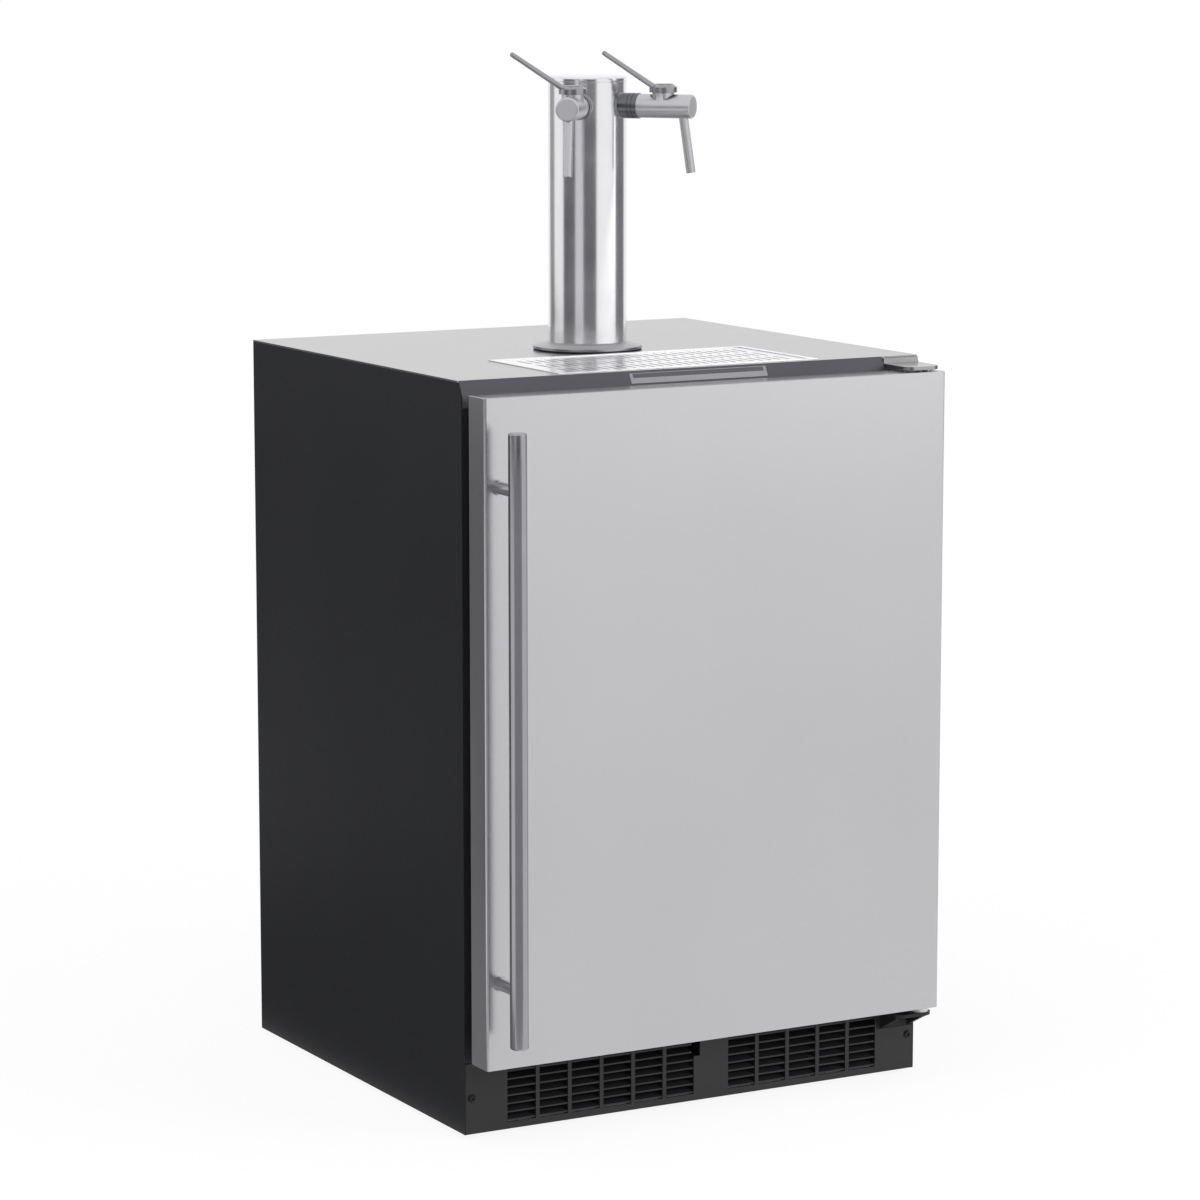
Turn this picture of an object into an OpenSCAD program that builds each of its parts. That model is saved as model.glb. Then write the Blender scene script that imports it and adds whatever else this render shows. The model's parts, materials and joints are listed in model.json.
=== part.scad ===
// Built-in beverage dispenser: an undercounter keg cooler with a twin-tap tower.
// Millimetres. X points right, the front faces -Y, Z points up.
// The origin is on the floor, below the middle of the whole object.

/* [Cabinet] */
// Overall width
cab_w = 606; // [570:1:700]
// Depth from the front frame to the back panel
cab_d = 551; // [530:1:640]
// Height from the underside to the worktop
cab_h = 859; // [820:1:920]
// Thickness of the outer sheet panels
sheet_t = 1.5; // [1:0.1:2.5]
// Folded return along the edges of the side panels
return_w = 18; // [14:1:20]
// Insulated wall between outer panel and liner
wall_t = 45; // [42:1:55]
// Insulated ceiling between worktop and liner
ceiling_t = 65; // [60:1:80]
// Thickness of the moulded liner
liner_t = 2; // [1.5:0.1:3]
// Number of moulded ribs on each liner side wall
liner_ribs = 3; // [2:1:5]
// How far a liner rib stands off the wall
liner_rib_h = 5; // [3:0.5:8]
// Radius of the long corners of the liner
chamber_r = 10; // [4:1:12]
// Height of the toe space below the insulated box
toe_h = 84; // [80:1:100]
// Depth of the machine compartment at the rear
machine_d = 205; // [195:1:230]
// Height of the machine compartment
machine_h = 235; // [225:1:260]
// Upturned edge of the base pan
pan_edge_h = 15; // [10:1:25]
// Number of pressed beads across the back panel
back_beads = 4; // [2:1:6]
// Depth of a pressed bead
bead_d = 0.6; // [0.3:0.1:0.8]

/* [Worktop and front rail] */
// Thickness of the stainless worktop
top_t = 2; // [1.5:0.1:3]
// Height of the sloped fascia
fascia_h = 17; // [14:0.5:22]
// Set-back of the worktop edge from the cabinet front
fascia_set = 9; // [6:0.5:14]
// Height of the front rail
rail_h = 30; // [28:1:36]
// Depth of the front rail
rail_d = 18; // [15:0.5:20]
// Width of the control panel
control_w = 180; // [140:1:220]
// Place of the control panel, to the right of the middle
control_x = 4; // [-40:1:40]
// Height of the control panel along the slope
control_h = 13; // [10:0.5:13.5]
// Thickness of the control panel
control_t = 3; // [2:0.1:4]
// How far the control panel stands proud of the fascia
control_proud = 0.5; // [0.2:0.1:1]
// Plain metal at each end of the display window
display_side = 4; // [3:0.5:20]
// Plain metal above the display window
display_margin = 1; // [0.8:0.1:2]
// Height of the display window
display_h = 5; // [2:0.1:6]
// Thickness of the display window
display_t = 1.2; // [0.8:0.1:2]

/* [Door] */
// Gap between the door and the cabinet, filled by the gasket
door_gap = 15.5; // [14:0.5:20]
// Thickness of the door
door_t = 38; // [34:1:50]
// Gap between toe space and the lower door edge
door_low_gap = 2.4; // [2:0.1:6]
// Drop from the worktop to the upper door edge
door_drop = 14; // [13:0.5:20]
// Gap between the door edge and the cabinet side
door_side_gap = 1; // [0.5:0.1:3]
// Thickness of the stainless door skin
skin_t = 1.5; // [1:0.1:2]
// Radius of the upright door edges
door_edge_r = 3; // [2:0.5:5]
// Thickness of the inner door panel
inner_t = 2; // [1.5:0.1:3]
// How far the rim of the inner panel stands out
dike_h = 10; // [6:1:12]
// Width of that rim
dike_w = 14; // [10:1:20]
// Width of the gasket
gasket_w = 22; // [18:1:22]
// Distance of the gasket from the chamber opening
gasket_edge = 3; // [2:0.5:3.5]
// Gap between the gasket face and the cabinet frame
gasket_clear = 0.5; // [0.4:0.1:1]
// Depth of the bellows grooves in the gasket
gasket_groove = 5; // [3:0.5:7]

/* [Handle] */
// Radius of the handle bar
handle_r = 10.5; // [8:0.5:13]
// How far the handle reaches in front of the door
handle_reach = 53.5; // [48:0.5:75]
// Length of the handle bar
handle_len = 690; // [620:1:730]
// Distance between the two handle posts
post_span = 560; // [400:1:600]
// Radius of a handle post
post_r = 7; // [5:0.5:8]
// Foot ring of a handle post, beyond its radius
post_foot = 1.5; // [1:0.5:4]
// Thickness of that foot ring
post_foot_t = 4; // [2:0.5:6]
// Distance of the handle bar from the cabinet side
handle_in = 19; // [16:1:40]

/* [Hinge] */
// Distance of the hinge axis from the cabinet side
hinge_in = 15; // [14:0.5:17]
// Radius of the hinge pins
pin_r = 5; // [4:0.5:6]
// Running clearance round the hinge pins
pin_clear = 0.05; // [0.02:0.01:0.1]
// Wall of a hinge bush
bush_wall = 3; // [2:0.5:4]
// How deep a hinge pin enters the door
pin_depth = 18; // [12:1:25]
// Thickness of the hinge plates
hinge_t = 4; // [3:0.5:5]
// Radius of the round end of a hinge plate
hinge_end_r = 13; // [11.5:0.5:14]
// Width of the upper hinge plate
hinge_plate_w = 49; // [44:1:60]
// Gap between the door and the upper hinge plate
hinge_gap = 2; // [1:0.5:3]
// Width of the lower hinge bracket
bracket_w = 52; // [44:1:52]
// Height of the lower hinge bracket
bracket_h = 26; // [20:1:34]
// Drop from the toe space to the lower hinge bracket
bracket_drop = 4; // [3:0.5:6]

/* [Toe grille] */
// Thickness of the grille plate
grille_t = 3; // [2:0.5:4]
// Depth of the louvre blades
grille_d = 12; // [9:0.5:16]
// Number of bays
bay_count = 12; // [8:1:12]
// Pitch of the bays
bay_pitch = 41.8; // [36:0.1:42]
// The bay without louvres, counted from zero at the left
blank_bay = 6; // [0:1:7]
// Width of the ribs between bays
rib_w = 5; // [3:0.5:8]
// Number of louvre rows
louvre_rows = 7; // [4:1:7]
// Pitch of the louvre rows
louvre_pitch = 9.6; // [8:0.1:9.8]
// Thickness of a louvre blade
louvre_t = 2; // [1.5:0.1:3]
// Rise of a louvre blade from front to back
louvre_rise = 5; // [3:0.5:6]
// Plain border below the lowest louvre
grille_border = 8; // [5:0.5:10]
// Width of the latch notch in the blank bay
notch_w = 11; // [8:1:16]
// Height of the latch notch
notch_h = 17; // [10:1:24]

/* [Feet] */
// Height of the cabinet underside above the floor
foot_show = 6; // [5.5:0.5:15]
// Radius of a foot pad
foot_pad_r = 20; // [15:1:26]
// Thickness of a foot pad
foot_pad_t = 4; // [3:0.5:5]
// Radius of a foot stem
foot_stem_r = 5; // [4:0.5:6]
// Clearance round a foot stem
foot_clear = 0.05; // [0.02:0.01:0.1]
// Distance of a foot from the cabinet edges
foot_inset = 55; // [45:1:75]
// How far a foot screws out
foot_travel = 20; // [10:1:25]
// Wall of a foot boss in the base pan
boss_wall = 5; // [3:0.5:8]
// Height of a foot boss
boss_h = 26; // [20:1:30]

/* [Tower] */
// Distance of the tower axis from the cabinet front
tower_set = 260; // [256:1:300]
// Height of the tower above the worktop
tower_h = 322; // [310:1:380]
// Radius of the column
col_r = 46.5; // [43:0.5:50]
// Wall of the column
col_wall = 2; // [1.5:0.1:2.5]
// Radius of the base flange
flange_r = 65; // [62:1:70]
// Thickness of the base flange below the column
flange_t = 8; // [6:0.5:12]
// Thickness of the base flange at its edge
flange_edge_t = 3; // [2:0.5:4]
// Thickness of the gasket below the flange
seal_t = 1.5; // [1:0.1:3]
// Height of the flange spigot inside the column
spigot_h = 20; // [10:1:30]
// Clearance of plugs and spigots inside the column
spigot_clear = 0.1; // [0.05:0.01:0.2]
// Thickness of the cap
cap_t = 6; // [4:0.5:10]
// Chamfer of the cap
cap_chamfer = 1.5; // [0.5:0.1:2.5]
// Radius of the way through for the beverage lines
line_way_r = 28; // [24:1:32]

/* [Taps] */
// Angle of each tap from straight ahead
tap_angle = 39; // [36:1:45]
// Drop from the tower top to the tap axis
tap_drop = 34; // [32:1:52]
// Radius of the shank
shank_r = 10; // [8:0.5:10.5]
// How far the shank stands out of its nut, inside the column
shank_past = 3; // [1:0.5:5]
// Thickness of the nut inside the column
nut_t = 9; // [6:0.5:10]
// Radius of the nut inside the column, across its corners
nut_r = 14; // [12:0.5:15]
// Radius of the coupling collar
collar_r = 15; // [14.5:0.5:17]
// Outer end of the collar, from the column axis
collar_end = 66; // [62:1:72]
// Depth of the two grooves round the collar
collar_groove = 0.8; // [0.4:0.1:1.2]
// Radius of the tap body
tap_r = 14; // [13.5:0.5:16]
// Outer end of the tap body, from the column axis
tap_end = 128.5; // [128:0.5:150]
// Length of the end cap
end_cap_l = 5; // [4.5:0.5:14]
// Radius of the round edge of the end cap
end_cap_r = 2.5; // [1:0.5:4]
// Radius of the flow passage
flow_r = 4; // [3:0.5:4.5]
// How far the shank enters the tap body
shank_seat = 10; // [6:1:12]
// Place of the valve stem, from the column axis
stem_at = 96; // [94:1:100]
// Radius of the valve plug
plug_r = 9; // [8:0.5:9.5]
// Running clearance round the valve plug
plug_clear = 0.05; // [0.02:0.01:0.1]
// How deep the plug reaches below the tap axis
plug_low = 8; // [6:0.5:8.5]
// Height of the stem boss above the tap body
stem_boss_h = 2; // [1:0.5:4]
// Radius of the stem that drives the plug
stem_r = 5; // [4:0.5:6]
// How far the stem enters the lever hub
stem_seat = 6; // [4:0.5:7]
// Radius of the lever hub
hub_r = 16.5; // [14:0.5:18]
// Height of the lever hub
hub_h = 10; // [9:0.5:14]
// Gap between lever hub and stem boss
hub_gap = 0.3; // [0.3:0.05:0.5]
// Distance of the inner end of a lever rod from its stem axis
lever_seat = 8; // [7.5:0.5:10]
// Height of that end above the underside of the hub
lever_low = 3.6; // [3.5:0.1:5]
// Length of a lever rod
lever_len = 83; // [60:1:110]
// Radius of a lever rod at its hub
lever_r = 3.4; // [2.5:0.1:4]
// Radius of a lever rod at its tip
lever_tip_r = 2.8; // [2:0.1:4]
// Rise of a lever above level, in degrees
lever_rise = 31; // [20:1:50]
// Place of the spout, from the column axis
spout_at = 119.5; // [117:0.5:120]
// Outer radius of the spout
spout_r = 5.5; // [5:0.5:6]
// Wall of the spout
spout_wall = 2; // [1.7:0.1:2.3]
// How far the spout hangs below the tap body
spout_drop = 64; // [40:1:90]
// Outward tilt of the spout, in degrees
spout_tilt = 8.4; // [0:0.1:9]

/* [Beverage lines] */
// Outer radius of a beverage line
line_r = 5; // [4:0.5:5.5]
// Bore radius of a beverage line
line_bore = 3; // [2.5:0.1:3.2]
// Radius of the hose tail at the lower end of a line
tail_r = 4.5; // [3.8:0.1:4.6]
// Length of the hose tail
tail_l = 25; // [15:1:35]
// Bend radius of a beverage line
line_bend = 10; // [9:0.5:10.5]
// Distance of the upright line from the column axis
line_at = 16; // [14:0.5:16]
// How far a line hangs below the chamber ceiling
line_drop = 40; // [25:1:60]

/* [Drip tray] */
// Width of the tray opening
tray_w = 330; // [250:1:400]
// Depth of the tray opening, front to back
tray_d = 160; // [120:1:164]
// Distance of the tray opening from the cabinet front
tray_set = 22; // [21:0.5:26]
// Depth of the drip pan
pan_d = 25; // [18:1:30]
// Wall of the drip pan
pan_t = 1.2; // [0.8:0.1:1.6]
// Width of the rim on the worktop
pan_rim = 6; // [4:0.5:8]
// Thickness of the rim
rim_t = 1; // [0.8:0.1:1.5]
// Gap between pan and worktop opening
pan_clear = 0.6; // [0.4:0.1:1]
// Width of the ledge that carries the grate
ledge_w = 5; // [3:0.5:8]
// Thickness of the drip grate
grate_t = 3; // [2:0.5:4]
// Gap round the drip grate
grate_clear = 0.8; // [0.5:0.1:1.5]
// Rows of slots in the grate
slot_rows = 3; // [2:1:4]
// Pitch of the slots
slot_pitch = 12; // [10:0.5:16]
// Width of a slot
slot_w = 3; // [2:0.5:6]
// Plain metal between slot rows and at the grate edge
slot_land = 12; // [8:1:16]

/* [Refrigeration] */
// Radius of the compressor shell
shell_r = 72; // [60:1:76]
// Height of the straight part of the shell
shell_h = 90; // [70:1:110]
// Radius of the dome of the shell
dome_r = 110; // [100:1:140]
// Place of the compressor, to the right of the middle
compressor_x = 95; // [80:1:130]
// Distance between compressor mounts, side to side
mount_span = 190; // [180:1:220]
// Distance between compressor mounts, front to back
mount_depth = 120; // [100:1:130]
// Height of a rubber mount
mount_h = 14; // [10:1:20]
// Radius of a rubber mount
mount_r = 11; // [9:0.5:14]
// Thickness of the compressor foot plate
foot_plate_t = 3; // [2:0.5:4]
// Thickness of the condenser
condenser_t = 40; // [30:1:45]
// Size of the condenser, front to back and upright
condenser_s = 160; // [150:1:170]
// Number of fins on condenser and evaporator
fin_count = 14; // [8:1:16]
// Thickness of a fin
fin_t = 3; // [2:0.5:4]
// Distance of the condenser from the cabinet side
condenser_in = 75; // [70:1:90]
// Side of the square condenser fan frame
big_fan_s = 160; // [150:1:170]
// Depth of the condenser fan frame
big_fan_d = 38; // [34:1:45]
// Side of the square chamber fan frame
small_fan_s = 110; // [100:1:118]
// Depth of the chamber fan frame
small_fan_d = 26; // [25:1:28]
// Radius of a fan hub
fan_hub_r = 22; // [18:1:26]
// Number of fan blades
blade_count = 5; // [3:1:7]
// Chord of a fan blade
blade_chord = 26; // [18:1:28]
// Tilt of a fan blade, in degrees
blade_tilt = 28; // [15:1:35]
// Gap between blade tips and frame
tip_gap = 2; // [1.5:0.5:4]
// Radius of a fan shaft
shaft_r = 2.5; // [2:0.1:3]
// Running clearance of a fan on its shaft
shaft_clear = 0.05; // [0.02:0.01:0.1]
// Width of the evaporator cover
cover_w = 400; // [340:1:440]
// Height of the evaporator cover
cover_h = 230; // [200:1:250]
// Depth of the evaporator cover
cover_d = 72; // [70:1:90]
// Wall of the evaporator cover
cover_t = 2; // [1.5:0.1:3]
// Gap between the cover and the chamber ceiling
cover_drop = 30; // [20:1:50]
// Number of ring slots in the guard before the chamber fan
guard_rings = 4; // [3:1:5]
// Width of the bars of that guard
guard_bar = 2.4; // [1.6:0.2:3]
// Thickness of the evaporator
evaporator_t = 32; // [26:1:36]
// Width of the condensate pan
condensate_w = 240; // [180:1:300]
// Depth of the condensate pan, front to back
condensate_d = 130; // [100:1:150]
// Height of the condensate pan
condensate_h = 25; // [20:1:40]
// Radius of the power cord passage in its gland
gland_bore = 4; // [3:0.5:5]
// Wall of the power gland
gland_wall = 4; // [3:0.5:6]
// Distance of the power gland from the cabinet side
gland_in = 78; // [63:1:93]
// Height of the power gland above the cabinet underside
gland_rise = 60; // [40:1:90]

/* [Fittings] */
// Thickness of the keg floor plate
keg_plate_t = 3; // [2:0.5:4]
// Gap round the keg floor plate
keg_plate_gap = 12; // [12:1:30]
// Length of the chamber light
light_l = 300; // [200:1:400]
// Width of the chamber light
light_w = 22; // [14:1:30]
// Height of the chamber light
light_h = 9; // [6:1:14]
// Distance of the chamber light from the front
light_set = 30; // [20:1:45]
// Radius of the screw shanks
screw_r = 2.5; // [2:0.1:3]
// Radius of the screw heads
screw_head_r = 4.5; // [3.5:0.1:5]
// Height of the screw heads
screw_head_h = 2.5; // [1.5:0.1:3]

/* [Hidden] */
$fn = 64;
eps = 0.5;
half_w = cab_w / 2;
side_in = half_w - sheet_t;
front_reach = door_gap + door_t + handle_reach;
front_y = (front_reach - cab_d) / 2;
back_y = front_y + cab_d;
base_z = foot_show;
top_z = base_z + cab_h;
box_z = base_z + toe_h;
deck_z = base_z + sheet_t;
frame_half = half_w - return_w;
rail_z = top_z - rail_h;
under_top = top_z - top_t;

liner_half = half_w - wall_t;
chamber_half = liner_half - liner_t;
floor_z = box_z + wall_t;
chamber_z = floor_z + liner_t;
ceil_z = top_z - ceiling_t;
chamber_top = ceil_z - liner_t;
step_y = back_y - machine_d;
step_z = base_z + machine_h;
machine_y = (step_y + back_y) / 2;
liner_back = back_y - wall_t;
chamber_back = liner_back - liner_t;
liner_step_y = step_y - wall_t;
liner_step_z = step_z + wall_t;

slope_angle = atan2(fascia_h, fascia_set);
slope_len = norm([fascia_h, fascia_set]);

door_back = front_y - door_gap;
door_front = door_back - door_t;
door_half = half_w - door_side_gap;
door_z0 = box_z + door_low_gap;
door_z1 = top_z - door_drop;
door_mid = (door_z0 + door_z1) / 2;
gasket_half = chamber_half + gasket_edge + gasket_w;
gasket_z0 = chamber_z - gasket_edge - gasket_w;
gasket_z1 = chamber_top + gasket_edge + gasket_w;

handle_x = handle_in - half_w;
handle_y = door_front - handle_reach + handle_r;

hinge_x = half_w - hinge_in;
hinge_y = door_back - door_t / 2;
bush_r = pin_r + bush_wall;
tongue_z = door_z1 + hinge_gap;
bracket_z = box_z - bracket_drop;
bracket_flange_t = hinge_t;

louvre_x0 = -bay_count * bay_pitch / 2;
louvre_z0 = base_z + grille_border;
louvre_z1 = louvre_z0 + louvre_rows * louvre_pitch;
grille_screw_x = half_w - return_w / 2;
grille_screw_z = base_z + toe_h / 2;
grille_slack = 0.5;
pan_gap = 1;

foot_x = half_w - foot_inset;
foot_front_y = front_y + foot_inset;
foot_back_y = back_y - foot_inset;
foot_stem_top = deck_z + boss_h + foot_travel / 2;

tower_y = front_y + tower_set;
tap_z = top_z + tower_h - tap_drop;
col_in = col_r - col_wall;
nut_slack = 0.05;
nut_seat = sqrt(pow(col_in, 2) - pow(nut_r * cos(30), 2)) - nut_slack;
shank_in = nut_seat - nut_t - shank_past;
flange_z = top_z + seal_t;
col_z0 = flange_z + flange_t;
col_z1 = top_z + tower_h - cap_t;
flange_screw_r = (col_r + flange_r) / 2;
flange_screw_bite = 3.5;
flange_head_room = 0.5;
stem_boss_wall = 4;
stem_boss_r = plug_r + stem_boss_wall;
stem_boss_top = tap_r + stem_boss_h;
hub_z = stem_boss_top + hub_gap;
plug_floor_gap = 0.3;

tray_y0 = front_y + tray_set;
tray_y1 = tray_y0 + tray_d;
pan_x = tray_w / 2 - pan_clear;
pan_z0 = top_z - pan_d;
pan_room = 1;
grate_z0 = top_z - grate_t;

fan_motor_h = 9;
fan_rotor_gap = 0.6;
fan_rotor_h = 14;
fan_strut_w = 5;
fan_strut_t = 4;
fan_rim = 4;
fan_blade_t = 2;
fan_blade_root = 2;
condenser_x0 = condenser_in - half_w;
big_fan_x = condenser_x0 + condenser_t;
big_fan_z = deck_z + big_fan_s / 2;
cover_z1 = chamber_top - cover_drop;
cover_z0 = cover_z1 - cover_h;
cover_y0 = chamber_back - cover_d;
small_fan_y = cover_y0 + cover_t + small_fan_d;
small_fan_z = (cover_z0 + cover_z1) / 2;
shell_z = deck_z + mount_h + foot_plate_t;
gland_x = half_w - gland_in;
gland_z = base_z + gland_rise;

rear_screw_in = 12;
rear_screw_low = 12;
rear_screw_drop = 14;
front_screw_in = 10;
front_screw_side = 12;
bracket_screw_rise = 8;
plate_screw_rise = 10;

// Shared shapes

// Box between two corners
module span(lo, hi) {
    translate(lo) cube(hi - lo);
}

// A YZ outline drawn out from x0 to x1
module along_width(x0, x1) {
    translate([x0, 0, 0]) rotate([90, 0, 90]) linear_extrude(x1 - x0) children();
}

// An XZ outline drawn out from y0 to y1
module along_depth(y0, y1) {
    translate([0, y1, 0]) rotate([90, 0, 0]) linear_extrude(y1 - y0) children();
}

// Flat rectangle between two corners
module area(lo, hi) {
    translate(lo) square(hi - lo);
}

// Rectangle with round corners
module round_area(lo, hi, r) {
    area(lo + [r, 0], hi - [r, 0]);
    area(lo + [0, r], hi - [0, r]);
    for (x = [lo[0] + r, hi[0] - r])
        for (y = [lo[1] + r, hi[1] - r])
            translate([x, y]) circle(r = r);
}

// Slot with round ends, centred, lengthwise along Y
module slot_area(w, l) {
    square([w, l - w], center = true);
    for (end = [-1, 1])
        translate([0, end * (l - w) / 2]) circle(r = w / 2);
}

module rod_x(x0, x1, r) {
    translate([x0, 0, 0]) rotate([0, 90, 0]) cylinder(r = r, h = x1 - x0);
}

// A screw whose head sits on z = 0, shank pointing down
module screw(shank_l) {
    cylinder(r = screw_head_r, h = screw_head_h);
    translate([0, 0, -shank_l]) cylinder(r = screw_r, h = shank_l + eps);
}

module fan_frame(side, depth) {
    bore = side / 2 - fan_rim;
    difference() {
        translate([-side / 2, -side / 2, 0]) cube([side, side, depth]);
        translate([0, 0, -eps]) cylinder(r = bore, h = depth + 2 * eps);
    }
    cylinder(r = fan_hub_r, h = fan_motor_h);
    translate([0, 0, fan_motor_h - eps]) cylinder(r = shaft_r, h = fan_rotor_gap + fan_rotor_h);
    for (turn = [45:90:315])
        rotate(turn)
            translate([0, -fan_strut_w / 2, 0])
                cube([bore + fan_rim / 2, fan_strut_w, fan_strut_t]);
}

module fan_rotor(side) {
    tip = side / 2 - fan_rim - tip_gap;
    root = fan_hub_r - fan_blade_root;
    low = fan_motor_h + fan_rotor_gap;
    difference() {
        union() {
            translate([0, 0, low]) cylinder(r = fan_hub_r, h = fan_rotor_h);
            intersection() {
                translate([0, 0, low]) cylinder(r = tip, h = fan_rotor_h);
                for (i = [0:blade_count - 1])
                    rotate(i * 360 / blade_count)
                        translate([root, 0, low + fan_rotor_h / 2])
                            rotate([blade_tilt, 0, 0])
                                translate([0, -blade_chord / 2, -fan_blade_t / 2])
                                    cube([tip - root, blade_chord, fan_blade_t]);
            }
        }
        translate([0, 0, low - eps]) cylinder(r = shaft_r + shaft_clear, h = fan_rotor_h + 2 * eps);
    }
}

module at_big_fan() {
    translate([big_fan_x, machine_y, big_fan_z]) rotate([0, 90, 0]) children();
}

module at_small_fan() {
    translate([0, small_fan_y, small_fan_z]) rotate([90, 0, 0]) children();
}

// Tap frame: X runs out along the tap, Z is up
module at_tap(side) {
    translate([0, tower_y, tap_z]) rotate([0, 0, side * tap_angle - 90]) children();
}

// Valve stem frame, square to the cabinet
module at_stem(side) {
    translate([side * sin(tap_angle) * stem_at, tower_y - cos(tap_angle) * stem_at, tap_z]) children();
}

// Spout frame: Z runs down the spout from the tap axis
module at_spout(side) {
    at_tap(side) translate([spout_at, 0, 0]) rotate([0, 180 - spout_tilt, 0]) children();
}

// Sloped fascia frame: Y runs up the slope, Z points out of it
module on_slope() {
    translate([0, front_y, top_z - fascia_h]) rotate([slope_angle, 0, 0]) children();
}

module at_feet(x, y) {
    translate([x, y, 0]) children();
}

// Cabinet shell

module side_panel() {
    difference() {
        union() {
            along_width(-half_w, -side_in)
                polygon([
                    [front_y, base_z], [back_y, base_z], [back_y, under_top],
                    [front_y + fascia_set, under_top], [front_y, top_z - fascia_h]
                ]);
            span([-half_w, front_y, box_z], [-frame_half, front_y + sheet_t, rail_z]);
            span([-half_w, back_y - sheet_t, base_z], [-frame_half, back_y, under_top]);
            span([-half_w, front_y + grille_t, base_z],
                 [-frame_half, front_y + grille_t + sheet_t, bracket_z - bracket_h - grille_slack]);
        }
        translate([-grille_screw_x, front_y, grille_screw_z])
            rotate([-90, 0, 0]) cylinder(r = screw_r, h = grille_d);
    }
}

module left_side_panel() {
    color("#2b2c2e") side_panel();
}

module right_side_panel() {
    color("#2b2c2e") mirror([1, 0, 0]) side_panel();
}

module back_panel() {
    bead_w = 14;
    bead_l = 1.7 * frame_half;
    bead_pitch = (under_top - step_z) / (back_beads + 1);
    color("#3a3b3d")
    difference() {
        span([-frame_half, back_y - sheet_t, step_z], [frame_half, back_y, under_top]);
        for (i = [1:back_beads])
            along_depth(back_y - bead_d, back_y + eps)
                translate([0, step_z + i * bead_pitch])
                    rotate(90) slot_area(bead_w, bead_l);
    }
}

module base_pan() {
    pan_y0 = front_y + grille_d + pan_gap;
    pan_y1 = back_y - sheet_t;
    drain_r = 4;
    drain_pitch = 0.15 * cab_w;
    color("#55585a")
    difference() {
        union() {
            span([-side_in, pan_y0, base_z], [side_in, pan_y1, deck_z]);
            for (side = [-1, 1])
                translate([side * (side_in - sheet_t / 2), (pan_y0 + pan_y1) / 2, base_z + pan_edge_h / 2])
                    cube([sheet_t, pan_y1 - pan_y0, pan_edge_h], center = true);
            span([-side_in, pan_y0, base_z], [side_in, pan_y0 + sheet_t, base_z + pan_edge_h]);
            for (x = [-foot_x, foot_x], y = [foot_front_y, foot_back_y])
                translate([x, y, base_z]) cylinder(r = foot_stem_r + boss_wall, h = sheet_t + boss_h);
        }
        for (x = [-foot_x, foot_x], y = [foot_front_y, foot_back_y])
            translate([x, y, base_z - eps])
                cylinder(r = foot_stem_r + foot_clear, h = sheet_t + boss_h + 2 * eps);
        for (i = [-2:2])
            translate([i * drain_pitch, machine_y - machine_d, base_z - eps])
                cylinder(r = drain_r, h = sheet_t + 2 * eps);
    }
}

// Sheet over the machine compartment, with a lip that backs the lower hinge bracket
module step_panel() {
    y0 = front_y + hinge_t;
    lip_x = half_w - bracket_w;
    color("#8a8d90") {
        along_width(-side_in, side_in)
            polygon([
                [y0, box_z - sheet_t], [step_y + sheet_t, box_z - sheet_t],
                [step_y + sheet_t, step_z - sheet_t], [back_y - sheet_t, step_z - sheet_t],
                [back_y - sheet_t, step_z], [step_y, step_z], [step_y, box_z], [y0, box_z]
            ]);
        span([lip_x, y0, bracket_z - bracket_h], [side_in, y0 + sheet_t, box_z]);
    }
}

// The stepped chamber with round long corners, grown on all sides, open at y0
module chamber_space(grow, y0) {
    half = chamber_half + grow;
    low = chamber_z - grow;
    high = chamber_top + grow;
    rear = chamber_back + grow;
    low_rear = liner_step_y - liner_t + grow;
    step = liner_step_z + liner_t - grow;
    intersection() {
        along_width(-half, half)
            polygon([[y0, low], [low_rear, low], [low_rear, step], [rear, step], [rear, high], [y0, high]]);
        along_depth(y0, rear) round_area([-half, low], [half, high], chamber_r + grow);
    }
}

module cabinet_foam() {
    color("#e6d9a8")
    difference() {
        along_width(-side_in, side_in)
            polygon([
                [front_y + liner_t, box_z], [step_y, box_z], [step_y, step_z],
                [back_y - sheet_t, step_z], [back_y - sheet_t, under_top],
                [front_y + rail_d, under_top], [front_y + rail_d, rail_z], [front_y + liner_t, rail_z]
            ]);
        chamber_space(liner_t, front_y);
        span([-tray_w / 2, tray_y0, pan_z0 - pan_room], [tray_w / 2, tray_y1, under_top + eps]);
        translate([0, tower_y, ceil_z - eps]) cylinder(r = line_way_r, h = ceiling_t);
        for (turn = [45:90:315])
            translate([0, tower_y, under_top - screw_head_h - flange_head_room])
                rotate(turn) translate([flange_screw_r, 0, 0])
                    cylinder(r = screw_head_r + flange_head_room, h = screw_head_h + flange_head_room + eps);
    }
}

module inner_liner() {
    rib_pitch = (chamber_top - chamber_z) / (liner_ribs + 1);
    rib_t = 10;
    rib_l = 0.7 * (liner_step_y - front_y);
    color("#d7d9da")
    difference() {
        union() {
            chamber_space(liner_t, front_y);
            along_depth(front_y, front_y + liner_t)
                area([-frame_half, box_z], [frame_half, rail_z]);
        }
        difference() {
            chamber_space(0, front_y - eps);
            for (side = [-1, 1], i = [1:liner_ribs])
                translate([side * chamber_half, (front_y + liner_step_y) / 2, chamber_z + i * rib_pitch])
                    cube([2 * liner_rib_h, rib_l, rib_t], center = true);
        }
        translate([0, tower_y, ceil_z - 2 * liner_t]) cylinder(r = line_way_r, h = 3 * liner_t);
    }
}

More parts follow.
